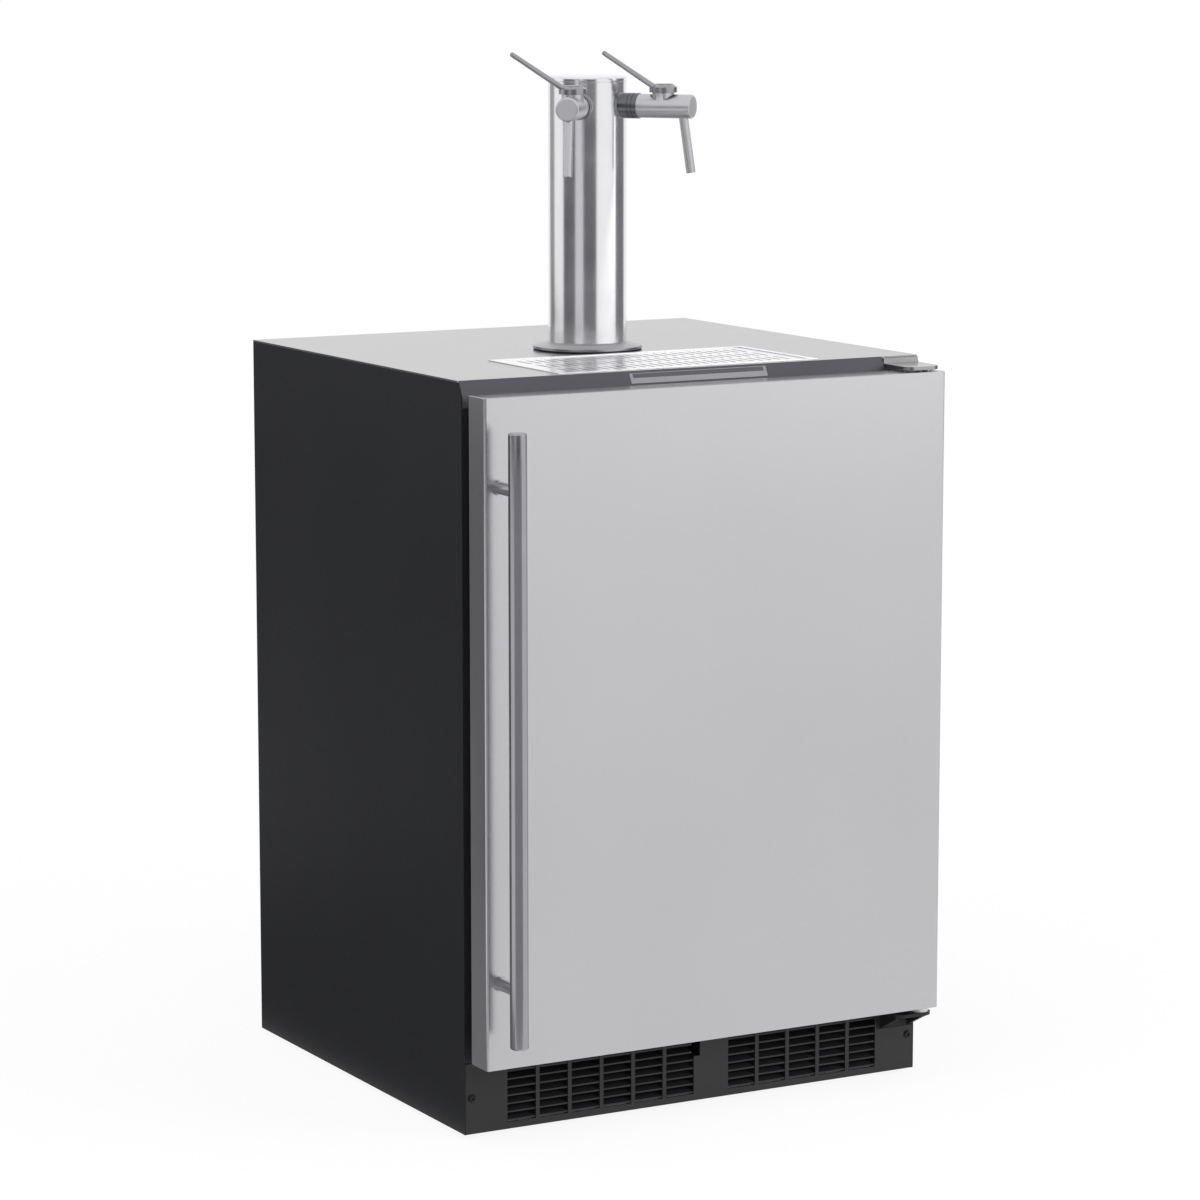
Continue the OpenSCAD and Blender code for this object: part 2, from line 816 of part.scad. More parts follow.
module keg_floor_plate() {
    y0 = front_y + keg_plate_gap;
    y1 = liner_step_y - liner_t - keg_plate_gap;
    half = chamber_half - keg_plate_gap;
    grooves = 7;
    groove_w = 8;
    groove_l = 0.85 * (y1 - y0);
    groove_d = 1;
    groove_pitch = 2 * half / (grooves + 1);
    color("#b9bcbe")
    difference() {
        translate([0, 0, chamber_z])
            linear_extrude(keg_plate_t) round_area([-half, y0], [half, y1], keg_plate_gap);
        for (i = [1:grooves])
            translate([i * groove_pitch - half, (y0 + y1) / 2, chamber_z + keg_plate_t - groove_d])
                linear_extrude(groove_d + eps) slot_area(groove_w, groove_l);
    }
}

module worktop() {
    color("#cdcdcd")
    difference() {
        span([-half_w, front_y + fascia_set, under_top], [half_w, back_y, top_z]);
        span([-tray_w / 2, tray_y0, under_top - eps], [tray_w / 2, tray_y1, top_z + eps]);
        translate([0, tower_y, under_top - eps]) cylinder(r = line_way_r, h = top_t + 2 * eps);
        flange_screw_holes(under_top - eps, top_z + eps);
    }
}

// Front rail, controls and toe grille

module front_fascia() {
    color("#5a5a60")
    difference() {
        along_width(-side_in, half_w - hinge_plate_w)
            polygon([
                [front_y, rail_z], [front_y + rail_d, rail_z], [front_y + rail_d, under_top],
                [front_y + fascia_set, under_top], [front_y + fascia_set, top_z],
                [front_y, top_z - fascia_h]
            ]);
        on_slope() control_block(eps);
    }
}

// The block that the control panel fills, open by extra at its outer face
module control_block(extra) {
    span([control_x - control_w / 2, (slope_len - control_h) / 2, control_proud - control_t],
         [control_x + control_w / 2, (slope_len + control_h) / 2, control_proud + extra]);
}

module display_block(extra) {
    half = control_w / 2 - display_side;
    window_top = (slope_len + control_h) / 2 - display_margin;
    span([control_x - half, window_top - display_h, control_proud - display_t],
         [control_x + half, window_top, control_proud + extra]);
}

module control_panel() {
    color("#909094")
    on_slope()
    difference() {
        control_block(0);
        display_block(eps);
    }
}

module control_display() {
    color("#2a2b30")
    on_slope() display_block(-control_proud / 2);
}

module toe_grille() {
    bay_half = (bay_pitch - rib_w) / 2;
    blank_x = louvre_x0 + blank_bay * bay_pitch;
    corner_x = half_w - bracket_w - grille_slack;
    corner_z = bracket_z - bracket_h - grille_slack;
    color("#28282a")
    difference() {
        union() {
            along_depth(front_y, front_y + grille_t)
                difference() {
                    area([-side_in, base_z], [side_in, box_z - sheet_t]);
                    for (bay = [0:bay_count - 1])
                        if (bay != blank_bay)
                            translate([louvre_x0 + (bay + 0.5) * bay_pitch, 0])
                                area([-bay_half, louvre_z0], [bay_half, louvre_z1]);
                }
            louvre_blades();
            for (bay = [0:bay_count])
                translate([louvre_x0 + bay * bay_pitch, 0, 0])
                    span([-rib_w / 2, front_y, louvre_z0 - rib_w / 2],
                         [rib_w / 2, front_y + grille_d, louvre_z1 + rib_w / 2]);
        }
        along_depth(front_y - eps, front_y + grille_d + eps) {
            area([corner_x, corner_z], [half_w, box_z]);
            translate([blank_x - rib_w, louvre_z1 - rib_w - notch_h]) square([notch_w, notch_h]);
            for (side = [-1, 1])
                translate([side * grille_screw_x, grille_screw_z]) circle(r = screw_r);
        }
    }
}

// Sloping blades, one for each row, running through every bay
module louvre_blades() {
    blade_y0 = front_y + grille_t / 3;
    blade_y1 = front_y + grille_d;
    for (row = [0:louvre_rows - 1])
        translate([0, 0, louvre_z0 + row * louvre_pitch + louvre_t / 2])
            along_width(louvre_x0, -louvre_x0)
                polygon([
                    [blade_y0, 0], [blade_y1, louvre_rise],
                    [blade_y1, louvre_rise + louvre_t], [blade_y0, louvre_t]
                ]);
}

module cabinet_screws() {
    grip = grille_t + sheet_t;
    color("#1d1d1f") {
        for (side = [-1, 1])
            translate([side * grille_screw_x, front_y, grille_screw_z]) rotate([90, 0, 0]) screw(grip);
        for (x = rear_screw_xs())
            for (z = rear_screw_zs())
                translate([x, back_y, z]) rotate([90, 0, 0]) cylinder(r = screw_head_r, h = sheet_t);
        for (x = bracket_screw_xs())
            translate([x, front_y, bracket_screw_z()]) rotate([90, 0, 0]) screw(bracket_flange_t);
    }
}

module stainless_screws() {
    color("#c4c6c8") {
        for (turn = [45:90:315])
            translate([0, tower_y, under_top]) rotate(turn) translate([flange_screw_r, 0, 0])
                rotate([180, 0, 0]) screw(top_t + seal_t + flange_screw_bite);
        for (x = plate_screw_xs())
            translate([x, front_y + fascia_set / 2, plate_screw_z()]) rotate([90, 0, 0]) screw(hinge_t);
    }
}

function rear_screw_xs() = [rear_screw_in - frame_half, 0, frame_half - rear_screw_in];
function rear_screw_zs() = [base_z + rear_screw_low, step_z - rear_screw_drop];
function bracket_screw_xs() = [half_w - bracket_w + front_screw_in, half_w - front_screw_side];
function bracket_screw_z() = bracket_z - bracket_h + bracket_screw_rise;
function plate_screw_xs() = [half_w - hinge_plate_w + front_screw_in, half_w - front_screw_side];
function plate_screw_z() = rail_z + plate_screw_rise;

module flange_screw_holes(z0, z1) {
    for (turn = [45:90:315])
        translate([0, tower_y, z0]) rotate(turn) translate([flange_screw_r, 0, 0])
            cylinder(r = screw_r, h = z1 - z0);
}

// Hinge

// Plan of a hinge plate: a strip from the cabinet to a round end about the hinge axis
module hinge_plan(x0, x1, y1) {
    area([x0, hinge_y], [x1, y1]);
    translate([hinge_x, hinge_y]) circle(r = hinge_end_r);
    area([x0 + hinge_end_r, hinge_y - hinge_end_r], [hinge_x, hinge_y]);
    translate([x0 + hinge_end_r, hinge_y]) circle(r = hinge_end_r);
}

module top_hinge_plate() {
    x0 = half_w - hinge_plate_w;
    x1 = side_in;
    flange_y = front_y + fascia_set / 2;
    color("#c9cacc")
    difference() {
        union() {
            translate([0, 0, tongue_z])
                linear_extrude(hinge_t) hinge_plan(x0, x1, flange_y + hinge_t);
            span([x0, flange_y, rail_z], [x1, flange_y + hinge_t, under_top]);
            span([x0, flange_y, under_top - hinge_t], [x1, front_y + rail_d, under_top]);
        }
        translate([hinge_x, hinge_y, tongue_z - eps]) cylinder(r = pin_r, h = hinge_t + 2 * eps);
        for (x = plate_screw_xs())
            translate([x, flange_y - eps, plate_screw_z()])
                rotate([-90, 0, 0]) cylinder(r = screw_r, h = hinge_t + 2 * eps);
    }
}

module bottom_hinge_bracket() {
    x0 = half_w - bracket_w;
    x1 = side_in;
    web_t = hinge_t;
    color("#1f1f21")
    difference() {
        union() {
            translate([0, 0, bracket_z - hinge_t])
                linear_extrude(hinge_t) hinge_plan(x0, x1, front_y + bracket_flange_t);
            span([x0, front_y, bracket_z - bracket_h], [x1, front_y + bracket_flange_t, bracket_z]);
            for (x = [x0 + web_t, x1 - 2 * web_t])
                along_width(x, x + web_t)
                    polygon([
                        [front_y, bracket_z - bracket_h], [front_y, bracket_z - hinge_t],
                        [hinge_y, bracket_z - hinge_t], [hinge_y, bracket_z - 2 * hinge_t]
                    ]);
        }
        translate([hinge_x, hinge_y, bracket_z - hinge_t - eps])
            cylinder(r = pin_r, h = hinge_t + 2 * eps);
        for (x = bracket_screw_xs())
            translate([x, front_y - 2 * screw_head_h, bracket_screw_z()])
                rotate([-90, 0, 0]) {
                    cylinder(r = screw_r, h = bracket_flange_t + 3 * screw_head_h);
                    cylinder(r = screw_head_r + eps, h = 2 * screw_head_h);
                }
    }
}

module hinge_pins() {
    color("#9fa2a5")
    translate([hinge_x, hinge_y, 0]) {
        translate([0, 0, door_z1 - pin_depth])
            cylinder(r = pin_r, h = tongue_z + hinge_t - door_z1 + pin_depth);
        translate([0, 0, bracket_z - hinge_t])
            cylinder(r = pin_r, h = hinge_t + door_z0 - bracket_z + pin_depth);
    }
}

// Refrigeration

module compressor() {
    dome_h = dome_r - sqrt(dome_r * dome_r - shell_r * shell_r);
    seam = 4;
    tail_r = 5;
    tail_rise = 10;
    terminal_box = [30, 44, 50];
    terminal_out = 12;
    terminal_z = 20;
    color("#1b1b1d")
    translate([compressor_x, machine_y, shell_z]) {
        cylinder(r = shell_r, h = shell_h);
        translate([0, 0, shell_h / 2]) cylinder(r = shell_r + seam, h = seam);
        intersection() {
            translate([0, 0, shell_h - eps]) cylinder(r = shell_r, h = dome_h + 2 * eps);
            translate([0, 0, shell_h + dome_h - dome_r]) sphere(r = dome_r);
        }
        difference() {
            translate([-mount_span / 2 - mount_r, -mount_depth / 2 - mount_r, -foot_plate_t])
                cube([mount_span + 2 * mount_r, mount_depth + 2 * mount_r, foot_plate_t]);
            for (x = [-1, 1], y = [-1, 1])
                translate([x * mount_span / 2, y * mount_depth / 2, -foot_plate_t - eps])
                    cylinder(r = tail_r, h = foot_plate_t + 2 * eps);
        }
        translate([-shell_r - terminal_out, -terminal_box[1] / 2, terminal_z]) cube(terminal_box);
        translate([shell_r / 3, shell_r / 3, shell_h]) cylinder(r = tail_r, h = dome_h + tail_rise);
    }
}

module compressor_mounts() {
    stud_r = 4.5;
    stud_rise = 2;
    color("#2e2e30")
    for (x = [-1, 1], y = [-1, 1])
        translate([compressor_x + x * mount_span / 2, machine_y + y * mount_depth / 2, deck_z]) {
            cylinder(r = mount_r, h = mount_h);
            cylinder(r = stud_r, h = mount_h + foot_plate_t + stud_rise);
        }
}

// A finned block: thin plates on round tubes, plates square to Y, bends left to the end plates
module finned_block(w, l, h, tubes) {
    pitch = (l - fin_t) / (fin_count - 1);
    tube_r = w / 8;
    for (i = [0:fin_count - 1])
        translate([0, i * pitch, 0]) cube([w, fin_t, h]);
    for (i = [0:tubes - 1])
        translate([w / 2, 0, (i + 0.5) * h / tubes]) rotate([-90, 0, 0]) cylinder(r = tube_r, h = l);
}

module condenser() {
    color("#6d7073")
    translate([condenser_x0, machine_y - condenser_s / 2, deck_z])
        finned_block(condenser_t, condenser_s, condenser_s, 5);
}

module condenser_fan_frame() {
    color("#232325") at_big_fan() fan_frame(big_fan_s, big_fan_d);
}

module condenser_fan() {
    color("#3b3c3e") at_big_fan() fan_rotor(big_fan_s);
}

module evaporator() {
    room = 30;
    tray_t = 10;
    color("#c3c6c8")
    translate([cover_w / 2 - room, chamber_back - evaporator_t, cover_z0 + tray_t])
        rotate(90) finned_block(evaporator_t, cover_w - 2 * room, cover_h - 2 * tray_t, 4);
}

// Ring slots between fan hub and fan bore, parted by spokes
module guard_area(bore) {
    ring_pitch = (bore - fan_hub_r) / guard_rings;
    difference() {
        for (i = [1:guard_rings])
            difference() {
                circle(r = fan_hub_r + i * ring_pitch);
                circle(r = fan_hub_r + (i - 1) * ring_pitch + guard_bar);
            }
        for (turn = [0:60:300])
            rotate(turn) translate([0, -guard_bar / 2]) square([bore + eps, guard_bar]);
    }
}

module evaporator_cover() {
    vents = 6;
    vent_w = 6;
    vent_l = 102;
    vent_pitch = 14;
    vent_from = 40;
    fan_bore = small_fan_s / 2 - fan_rim;
    color("#d9dadb")
    difference() {
        span([-cover_w / 2, cover_y0, cover_z0], [cover_w / 2, chamber_back, cover_z1]);
        span([-cover_w / 2 + cover_t, cover_y0 + cover_t, cover_z0 + cover_t],
             [cover_w / 2 - cover_t, chamber_back + eps, cover_z1 - cover_t]);
        along_depth(cover_y0 - eps, cover_y0 + cover_t + eps) {
            translate([0, small_fan_z]) guard_area(fan_bore);
            for (side = [-1, 1], i = [0:vents - 1])
                translate([side * (fan_bore + vent_from + i * vent_pitch), small_fan_z])
                    slot_area(vent_w, vent_l);
        }
    }
}

module evaporator_fan_frame() {
    color("#2b2c2e") at_small_fan() fan_frame(small_fan_s, small_fan_d);
}

module evaporator_fan() {
    color("#3b3c3e") at_small_fan() fan_rotor(small_fan_s);
}

module condensate_pan() {
    wall = 2;
    behind_feet = 30;
    y0 = foot_front_y + behind_feet;
    color("#2f3032")
    difference() {
        span([-condensate_w / 2, y0, deck_z], [condensate_w / 2, y0 + condensate_d, deck_z + condensate_h]);
        span([-condensate_w / 2 + wall, y0 + wall, deck_z + wall],
             [condensate_w / 2 - wall, y0 + condensate_d - wall, deck_z + condensate_h + eps]);
    }
}

module rear_cover() {
    rows = 6;
    row_pitch = 14;
    columns = 9;
    column_pitch = 46;
    vent_w = 5;
    vent_l = 36;
    vent_drop = 50;
    vent_top = step_z - vent_drop;
    color("#3a3b3d")
    difference() {
        span([-frame_half, back_y - sheet_t, base_z], [frame_half, back_y, step_z - sheet_t]);
        along_depth(back_y - sheet_t - eps, back_y + eps) {
            for (row = [0:rows - 1], column = [0:columns - 1])
                translate([(column - (columns - 1) / 2) * column_pitch, vent_top - row * row_pitch])
                    rotate(90) slot_area(vent_w, vent_l);
            translate([gland_x, gland_z]) circle(r = gland_bore + gland_wall);
            for (x = rear_screw_xs(), z = rear_screw_zs())
                translate([x, z]) circle(r = screw_head_r);
        }
    }
}

module power_gland() {
    collar = 4;
    depth = 22;
    color("#1a1a1c")
    translate([gland_x, back_y, gland_z]) rotate([90, 0, 0])
    difference() {
        union() {
            cylinder(r = gland_bore + gland_wall, h = depth);
            translate([0, 0, sheet_t]) cylinder(r = gland_bore + gland_wall + collar, h = collar);
        }
        translate([0, 0, -eps]) cylinder(r = gland_bore, h = depth + 2 * eps);
    }
}

module chamber_light() {
    y0 = front_y + light_set;
    bevel = 3;
    color("#f2f2ea")
    difference() {
        span([-light_l / 2, y0, chamber_top - light_h], [light_l / 2, y0 + light_w, chamber_top]);
        for (edge = [y0, y0 + light_w])
            translate([0, edge, chamber_top - light_h])
                rotate([45, 0, 0]) cube([light_l + 2 * eps, bevel, bevel], center = true);
    }
}

// Tower

module tower_gasket() {
    inset = 1;
    color("#202022")
    difference() {
        translate([0, tower_y, top_z]) cylinder(r = flange_r - inset, h = seal_t);
        translate([0, tower_y, top_z - eps]) cylinder(r = line_way_r, h = seal_t + 2 * eps);
        flange_screw_holes(top_z - eps, flange_z + eps);
    }
}

// A shallow cone under the column, held from below so that no screw shows
module tower_flange() {
    land = 1.5;
    color("#d0d1d3")
    difference() {
        translate([0, tower_y, flange_z]) {
            cylinder(r = flange_r, h = flange_edge_t);
            translate([0, 0, flange_edge_t])
                cylinder(r1 = flange_r, r2 = col_r + land, h = flange_t - flange_edge_t);
            cylinder(r = col_in - spigot_clear, h = flange_t + spigot_h);
        }
        translate([0, tower_y, flange_z - eps]) cylinder(r = line_way_r, h = flange_t + spigot_h + 2 * eps);
        flange_screw_holes(flange_z - eps, flange_z + flange_screw_bite);
    }
}

module tower_column() {
    color("#dcdde0")
    difference() {
        translate([0, tower_y, col_z0]) cylinder(r = col_r, h = col_z1 - col_z0);
        translate([0, tower_y, col_z0 - eps]) cylinder(r = col_in, h = col_z1 - col_z0 + 2 * eps);
        for (side = [-1, 1])
            at_tap(side) rod_x(0, col_r + col_wall, shank_r);
    }
}

module tower_cap() {
    plug_h = 8;
    color("#dcdde0")
    translate([0, tower_y, col_z1]) {
        cylinder(r = col_r, h = cap_t - cap_chamfer);
        translate([0, 0, cap_t - cap_chamfer])
            cylinder(r1 = col_r, r2 = col_r - cap_chamfer, h = cap_chamfer);
        translate([0, 0, -plug_h]) cylinder(r = col_in - spigot_clear, h = plug_h + eps);
    }
}

// Each line leaves its shank, bends down and hangs into the chamber
module beverage_lines() {
    drop = tap_z - line_bend - ceil_z + line_drop;
    bend_x = line_at + line_bend;
    color("#c8cacc")
    for (side = [-1, 1])
        at_tap(side) {
            difference() {
                rod_x(bend_x, shank_in, line_r);
                rod_x(bend_x - eps, shank_in + eps, line_bore);
            }
            translate([bend_x, 0, -line_bend]) rotate([90, 0, 0]) rotate(90)
                rotate_extrude(angle = 90) translate([line_bend, 0]) line_section(line_r);
            translate([line_at, 0, -line_bend - drop]) {
                linear_extrude(tail_l) line_section(tail_r);
                translate([0, 0, tail_l]) linear_extrude(drop - tail_l) line_section(line_r);
            }
        }
}

module line_section(r) {
    difference() {
        circle(r = r);
        circle(r = line_bore);
    }
}

// Taps

module tap_shanks() {
    seat = collar_end + shank_seat;
    color("#b4b6b9")
    for (side = [-1, 1])
        at_tap(side)
        difference() {
            union() {
                rod_x(shank_in, seat, shank_r);
                translate([nut_seat - nut_t, 0, 0])
                    rotate([0, 90, 0]) cylinder(r = nut_r, h = nut_t, $fn = 6);
            }
            rod_x(shank_in - eps, seat + eps, flow_r);
        }
}

module tap_collars() {
    groove_w = 2;
    groove_first = 4;
    groove_step = 5;
    groove_last = groove_first + groove_step;
    color("#8e9094")
    difference() {
        for (side = [-1, 1])
            at_tap(side)
            difference() {
                rod_x(col_in, collar_end, collar_r);
                rod_x(0, collar_end + eps, shank_r);
                for (back = [groove_first, groove_last])
                    translate([collar_end - back, 0, 0])
                        difference() {
                            rod_x(-groove_w, 0, collar_r + eps);
                            rod_x(-groove_w - eps, eps, collar_r - collar_groove);
                        }
            }
        translate([0, tower_y, tap_z - 2 * collar_r]) cylinder(r = col_r, h = 4 * collar_r);
    }
}

module tap_body(side) {
    socket = 3;
    difference() {
        at_tap(side) {
            rod_x(collar_end, tap_end, tap_r);
            translate([stem_at, 0, 0]) cylinder(r = stem_boss_r, h = stem_boss_top);
        }
        at_tap(side) {
            rod_x(collar_end - eps, collar_end + shank_seat, shank_r);
            rod_x(collar_end, spout_at, flow_r);
            translate([stem_at, 0, -plug_low - plug_floor_gap])
                cylinder(r = plug_r + plug_clear, h = plug_low + plug_floor_gap + stem_boss_top + eps);
        }
        at_spout(side) cylinder(r = spout_r - spout_wall, h = tap_r);
        at_spout(side) translate([0, 0, flow_r + socket]) cylinder(r = spout_r, h = 2 * tap_r);
    }
}

module left_tap_body() {
    color("#bfc1c4") tap_body(-1);
}

module right_tap_body() {
    color("#bfc1c4") tap_body(1);
}

module tap_end_caps() {
    edge_x = tap_r - end_cap_r;
    edge_z = end_cap_l - end_cap_r;
    color("#d2d3d6")
    for (side = [-1, 1])
        at_tap(side) translate([tap_end, 0, 0]) rotate([0, 90, 0])
            rotate_extrude() {
                area([0, 0], [tap_r, edge_z]);
                area([0, 0], [edge_x, end_cap_l]);
                translate([edge_x, edge_z]) circle(r = end_cap_r);
            }
}

module tap_spout(side) {
    socket = 3;
    top = flow_r + socket;
    low = tap_r + spout_drop;
    at_spout(side)
    difference() {
        translate([0, 0, top]) cylinder(r = spout_r, h = low - top);
        translate([0, 0, top - eps]) cylinder(r = spout_r - spout_wall, h = low - top + 2 * eps);
    }
}

module left_tap_spout() {
    color("#c9cbce") tap_spout(-1);
}

module right_tap_spout() {
    color("#c9cbce") tap_spout(1);
}

// The plug closes the flow while its cross bore lies across the tap
module valve_stem(side) {
    at_stem(side)
    difference() {
        union() {
            translate([0, 0, -plug_low]) cylinder(r = plug_r, h = plug_low + stem_boss_top);
            cylinder(r = stem_r, h = hub_z + stem_seat);
        }
        rotate([0, 0, side * tap_angle])
            rotate([0, 90, 0]) translate([0, 0, -2 * plug_r]) cylinder(r = flow_r, h = 4 * plug_r);
    }
}

module left_valve_stem() {
    color("#a9abae") valve_stem(-1);
}

module right_valve_stem() {
    color("#a9abae") valve_stem(1);
}

module tap_lever(side) {
    rim_h = 4;
    rim_in = 6;
    at_stem(side)
    difference() {
        union() {
            translate([0, 0, hub_z]) cylinder(r = hub_r, h = hub_h - rim_h);
            translate([0, 0, hub_z + hub_h - rim_h])
                cylinder(r1 = hub_r, r2 = hub_r - rim_in, h = rim_h);
            translate([-lever_seat, 0, hub_z + lever_low]) rotate([0, lever_rise - 90, 0]) {
                cylinder(r1 = lever_r, r2 = lever_tip_r, h = lever_len);
                translate([0, 0, lever_len]) sphere(r = lever_tip_r);
            }
        }
        translate([0, 0, hub_z - eps]) cylinder(r = stem_r, h = stem_seat + eps);
    }
}

module left_tap_lever() {
    color("#c2c4c7") tap_lever(-1);
}

module right_tap_lever() {
    color("#c2c4c7") tap_lever(1);
}

// Drip tray

module drip_pan() {
    y0 = tray_y0 + pan_clear;
    y1 = tray_y1 - pan_clear;
    in_x = pan_x - pan_t;
    color("#c6c8ca")
    difference() {
        union() {
            span([-pan_x, y0, pan_z0], [pan_x, y1, top_z + rim_t]);
            span([-tray_w / 2 - pan_rim, tray_y0 - pan_rim, top_z],
                 [tray_w / 2 + pan_rim, tray_y1 + pan_rim, top_z + rim_t]);
        }
        span([-in_x + ledge_w, y0 + pan_t + ledge_w, pan_z0 + pan_t],
             [in_x - ledge_w, y1 - pan_t - ledge_w, top_z + 2 * rim_t]);
        span([-in_x, y0 + pan_t, grate_z0], [in_x, y1 - pan_t, top_z + 2 * rim_t]);
    }
}

module drip_grate() {
    half = pan_x - pan_t - grate_clear;
    y0 = tray_y0 + pan_clear + pan_t + grate_clear;
    y1 = tray_y1 - pan_clear - pan_t - grate_clear;
    row_d = (y1 - y0 - slot_land) / slot_rows;
    columns = floor((2 * half - 2 * slot_land) / slot_pitch);
    color("#b7b9bc")
    translate([0, 0, grate_z0])
    linear_extrude(grate_t)
    difference() {
        area([-half, y0], [half, y1]);
        for (row = [0:slot_rows - 1], column = [0:columns - 1])
            translate([(column - (columns - 1) / 2) * slot_pitch, y0 + slot_land / 2 + (row + 0.5) * row_d])
                slot_area(slot_w, row_d - slot_land);
    }
}

// Feet

module foot() {
    chamfer = 1;
    hex_r = 9;
    hex_h = 1;
    cylinder(r1 = foot_pad_r - chamfer, r2 = foot_pad_r, h = chamfer);
    translate([0, 0, chamfer]) cylinder(r = foot_pad_r, h = foot_pad_t - chamfer);
    cylinder(r = hex_r, h = foot_pad_t + hex_h, $fn = 6);
    cylinder(r = foot_stem_r, h = foot_stem_top);
}

module front_left_foot() {
    color("#303133") at_feet(-foot_x, foot_front_y) foot();
}

module front_right_foot() {
    color("#303133") at_feet(foot_x, foot_front_y) foot();
}

module rear_left_foot() {
    color("#303133") at_feet(-foot_x, foot_back_y) foot();
}

module rear_right_foot() {
    color("#303133") at_feet(foot_x, foot_back_y) foot();
}

// Door

module door_skin() {
    color("#c2c3c5")
    difference() {
        translate([0, 0, door_z0])
            linear_extrude(door_z1 - door_z0)
                union() {
                    round_area([-door_half, door_front], [door_half, door_back], door_edge_r);
                    area([-door_half, hinge_y], [door_half, door_back]);
                }
        span([-door_half + skin_t, door_front + skin_t, door_z0 + skin_t],
             [door_half - skin_t, door_back + eps, door_z1 - skin_t]);
        bush_holes();
    }
}

module bush_holes() {
    translate([hinge_x, hinge_y, 0]) {
        translate([0, 0, door_z0 - eps]) cylinder(r = bush_r, h = pin_depth + bush_wall + eps);
        translate([0, 0, door_z1 - pin_depth - bush_wall])
            cylinder(r = bush_r, h = pin_depth + bush_wall + eps);
    }
}

module door_foam() {
    color("#e6d9a8")
    difference() {
        span([-door_half + skin_t, door_front + skin_t, door_z0 + skin_t],
             [door_half - skin_t, door_back - inner_t, door_z1 - skin_t]);
        bush_holes();
    }
}

module door_inner_panel() {
    half = door_half - skin_t;
    out_half = chamber_half - dike_w / 2;
    low = chamber_z + dike_w / 2;
    high = chamber_top - dike_w / 2;
    color("#d7d9da") {
        along_depth(door_back - inner_t, door_back)
            area([-half, door_z0 + skin_t], [half, door_z1 - skin_t]);
        along_depth(door_back - eps, door_back + dike_h)
            difference() {
                round_area([-out_half, low], [out_half, high], dike_w);
                round_area([dike_w - out_half, low + dike_w], [out_half - dike_w, high - dike_w], dike_w / 2);
            }
    }
}

module door_gasket() {
    face_y = front_y - gasket_clear;
    groove_y = (door_back + face_y) / 2;
    groove_w = 2;
    color("#151517")
    difference() {
        along_depth(door_back, face_y) gasket_ring(0, gasket_w);
        along_depth(groove_y - groove_w, groove_y + groove_w) {
            gasket_ring(-eps, gasket_groove);
            gasket_ring(gasket_w - gasket_groove, gasket_w + eps);
        }
    }
}

// Frame between two distances in from the outer gasket edge
module gasket_ring(from, to) {
    difference() {
        area([-gasket_half + from, gasket_z0 + from], [gasket_half - from, gasket_z1 - from]);
        area([-gasket_half + to, gasket_z0 + to], [gasket_half - to, gasket_z1 - to]);
    }
}

module door_handle_bar() {
    edge = 1.5;
    color("#cfd0d2")
    translate([handle_x, handle_y, door_mid - handle_len / 2]) {
        cylinder(r1 = handle_r - edge, r2 = handle_r, h = edge);
        translate([0, 0, edge]) cylinder(r = handle_r, h = handle_len - 2 * edge);
        translate([0, 0, handle_len - edge]) cylinder(r1 = handle_r, r2 = handle_r - edge, h = edge);
    }
}

module door_handle_posts() {
    color("#cfd0d2")
    difference() {
        for (end = [-1, 1])
            translate([handle_x, door_front, door_mid + end * post_span / 2]) rotate([90, 0, 0]) {
                cylinder(r = post_r, h = door_front - handle_y);
                cylinder(r = post_r + post_foot, h = post_foot_t);
            }
        translate([handle_x, handle_y, door_mid - handle_len / 2]) cylinder(r = handle_r, h = handle_len);
    }
}

module door_hinge_bushes() {
    flange = 3;
    color("#e8e8e4")
    translate([hinge_x, hinge_y, 0])
    difference() {
        union() {
            translate([0, 0, door_z1 - pin_depth - bush_wall])
                cylinder(r = bush_r, h = pin_depth + bush_wall);
            translate([0, 0, bracket_z]) cylinder(r = bush_r + flange, h = door_z0 - bracket_z);
            translate([0, 0, bracket_z])
                cylinder(r = bush_r, h = door_z0 - bracket_z + pin_depth + bush_wall);
        }
        translate([0, 0, bracket_z - eps])
            cylinder(r = pin_r + pin_clear, h = door_z0 - bracket_z + pin_depth + bush_wall + 2 * eps);
        translate([0, 0, door_z1 - pin_depth - bush_wall - eps])
            cylinder(r = pin_r + pin_clear, h = pin_depth + bush_wall + 2 * eps);
    }
}

left_side_panel();
right_side_panel();
back_panel();
base_pan();
step_panel();
cabinet_foam();
inner_liner();
keg_floor_plate();
worktop();
front_fascia();
control_panel();
control_display();
toe_grille();
cabinet_screws();
stainless_screws();
top_hinge_plate();
bottom_hinge_bracket();
hinge_pins();
compressor();
compressor_mounts();
condenser();
condenser_fan_frame();
evaporator();
evaporator_cover();
evaporator_fan_frame();
condensate_pan();
rear_cover();
power_gland();
chamber_light();
tower_gasket();
tower_flange();
tower_column();
tower_cap();
beverage_lines();
tap_shanks();
tap_collars();
left_tap_body();
right_tap_body();
tap_end_caps();
left_tap_spout();
right_tap_spout();
left_valve_stem();
right_valve_stem();
left_tap_lever();
right_tap_lever();
condenser_fan();
evaporator_fan();
drip_pan();
drip_grate();
front_left_foot();
front_right_foot();
rear_left_foot();
rear_right_foot();
door_skin();
door_inner_panel();
door_foam();
door_gasket();
door_handle_bar();
door_handle_posts();
door_hinge_bushes();
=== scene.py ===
"""Looks of the built-in beverage dispenser: its finishes, fine pieces, studio and camera."""
import json
import math

import bmesh
import bpy
from mathutils import Matrix, Vector


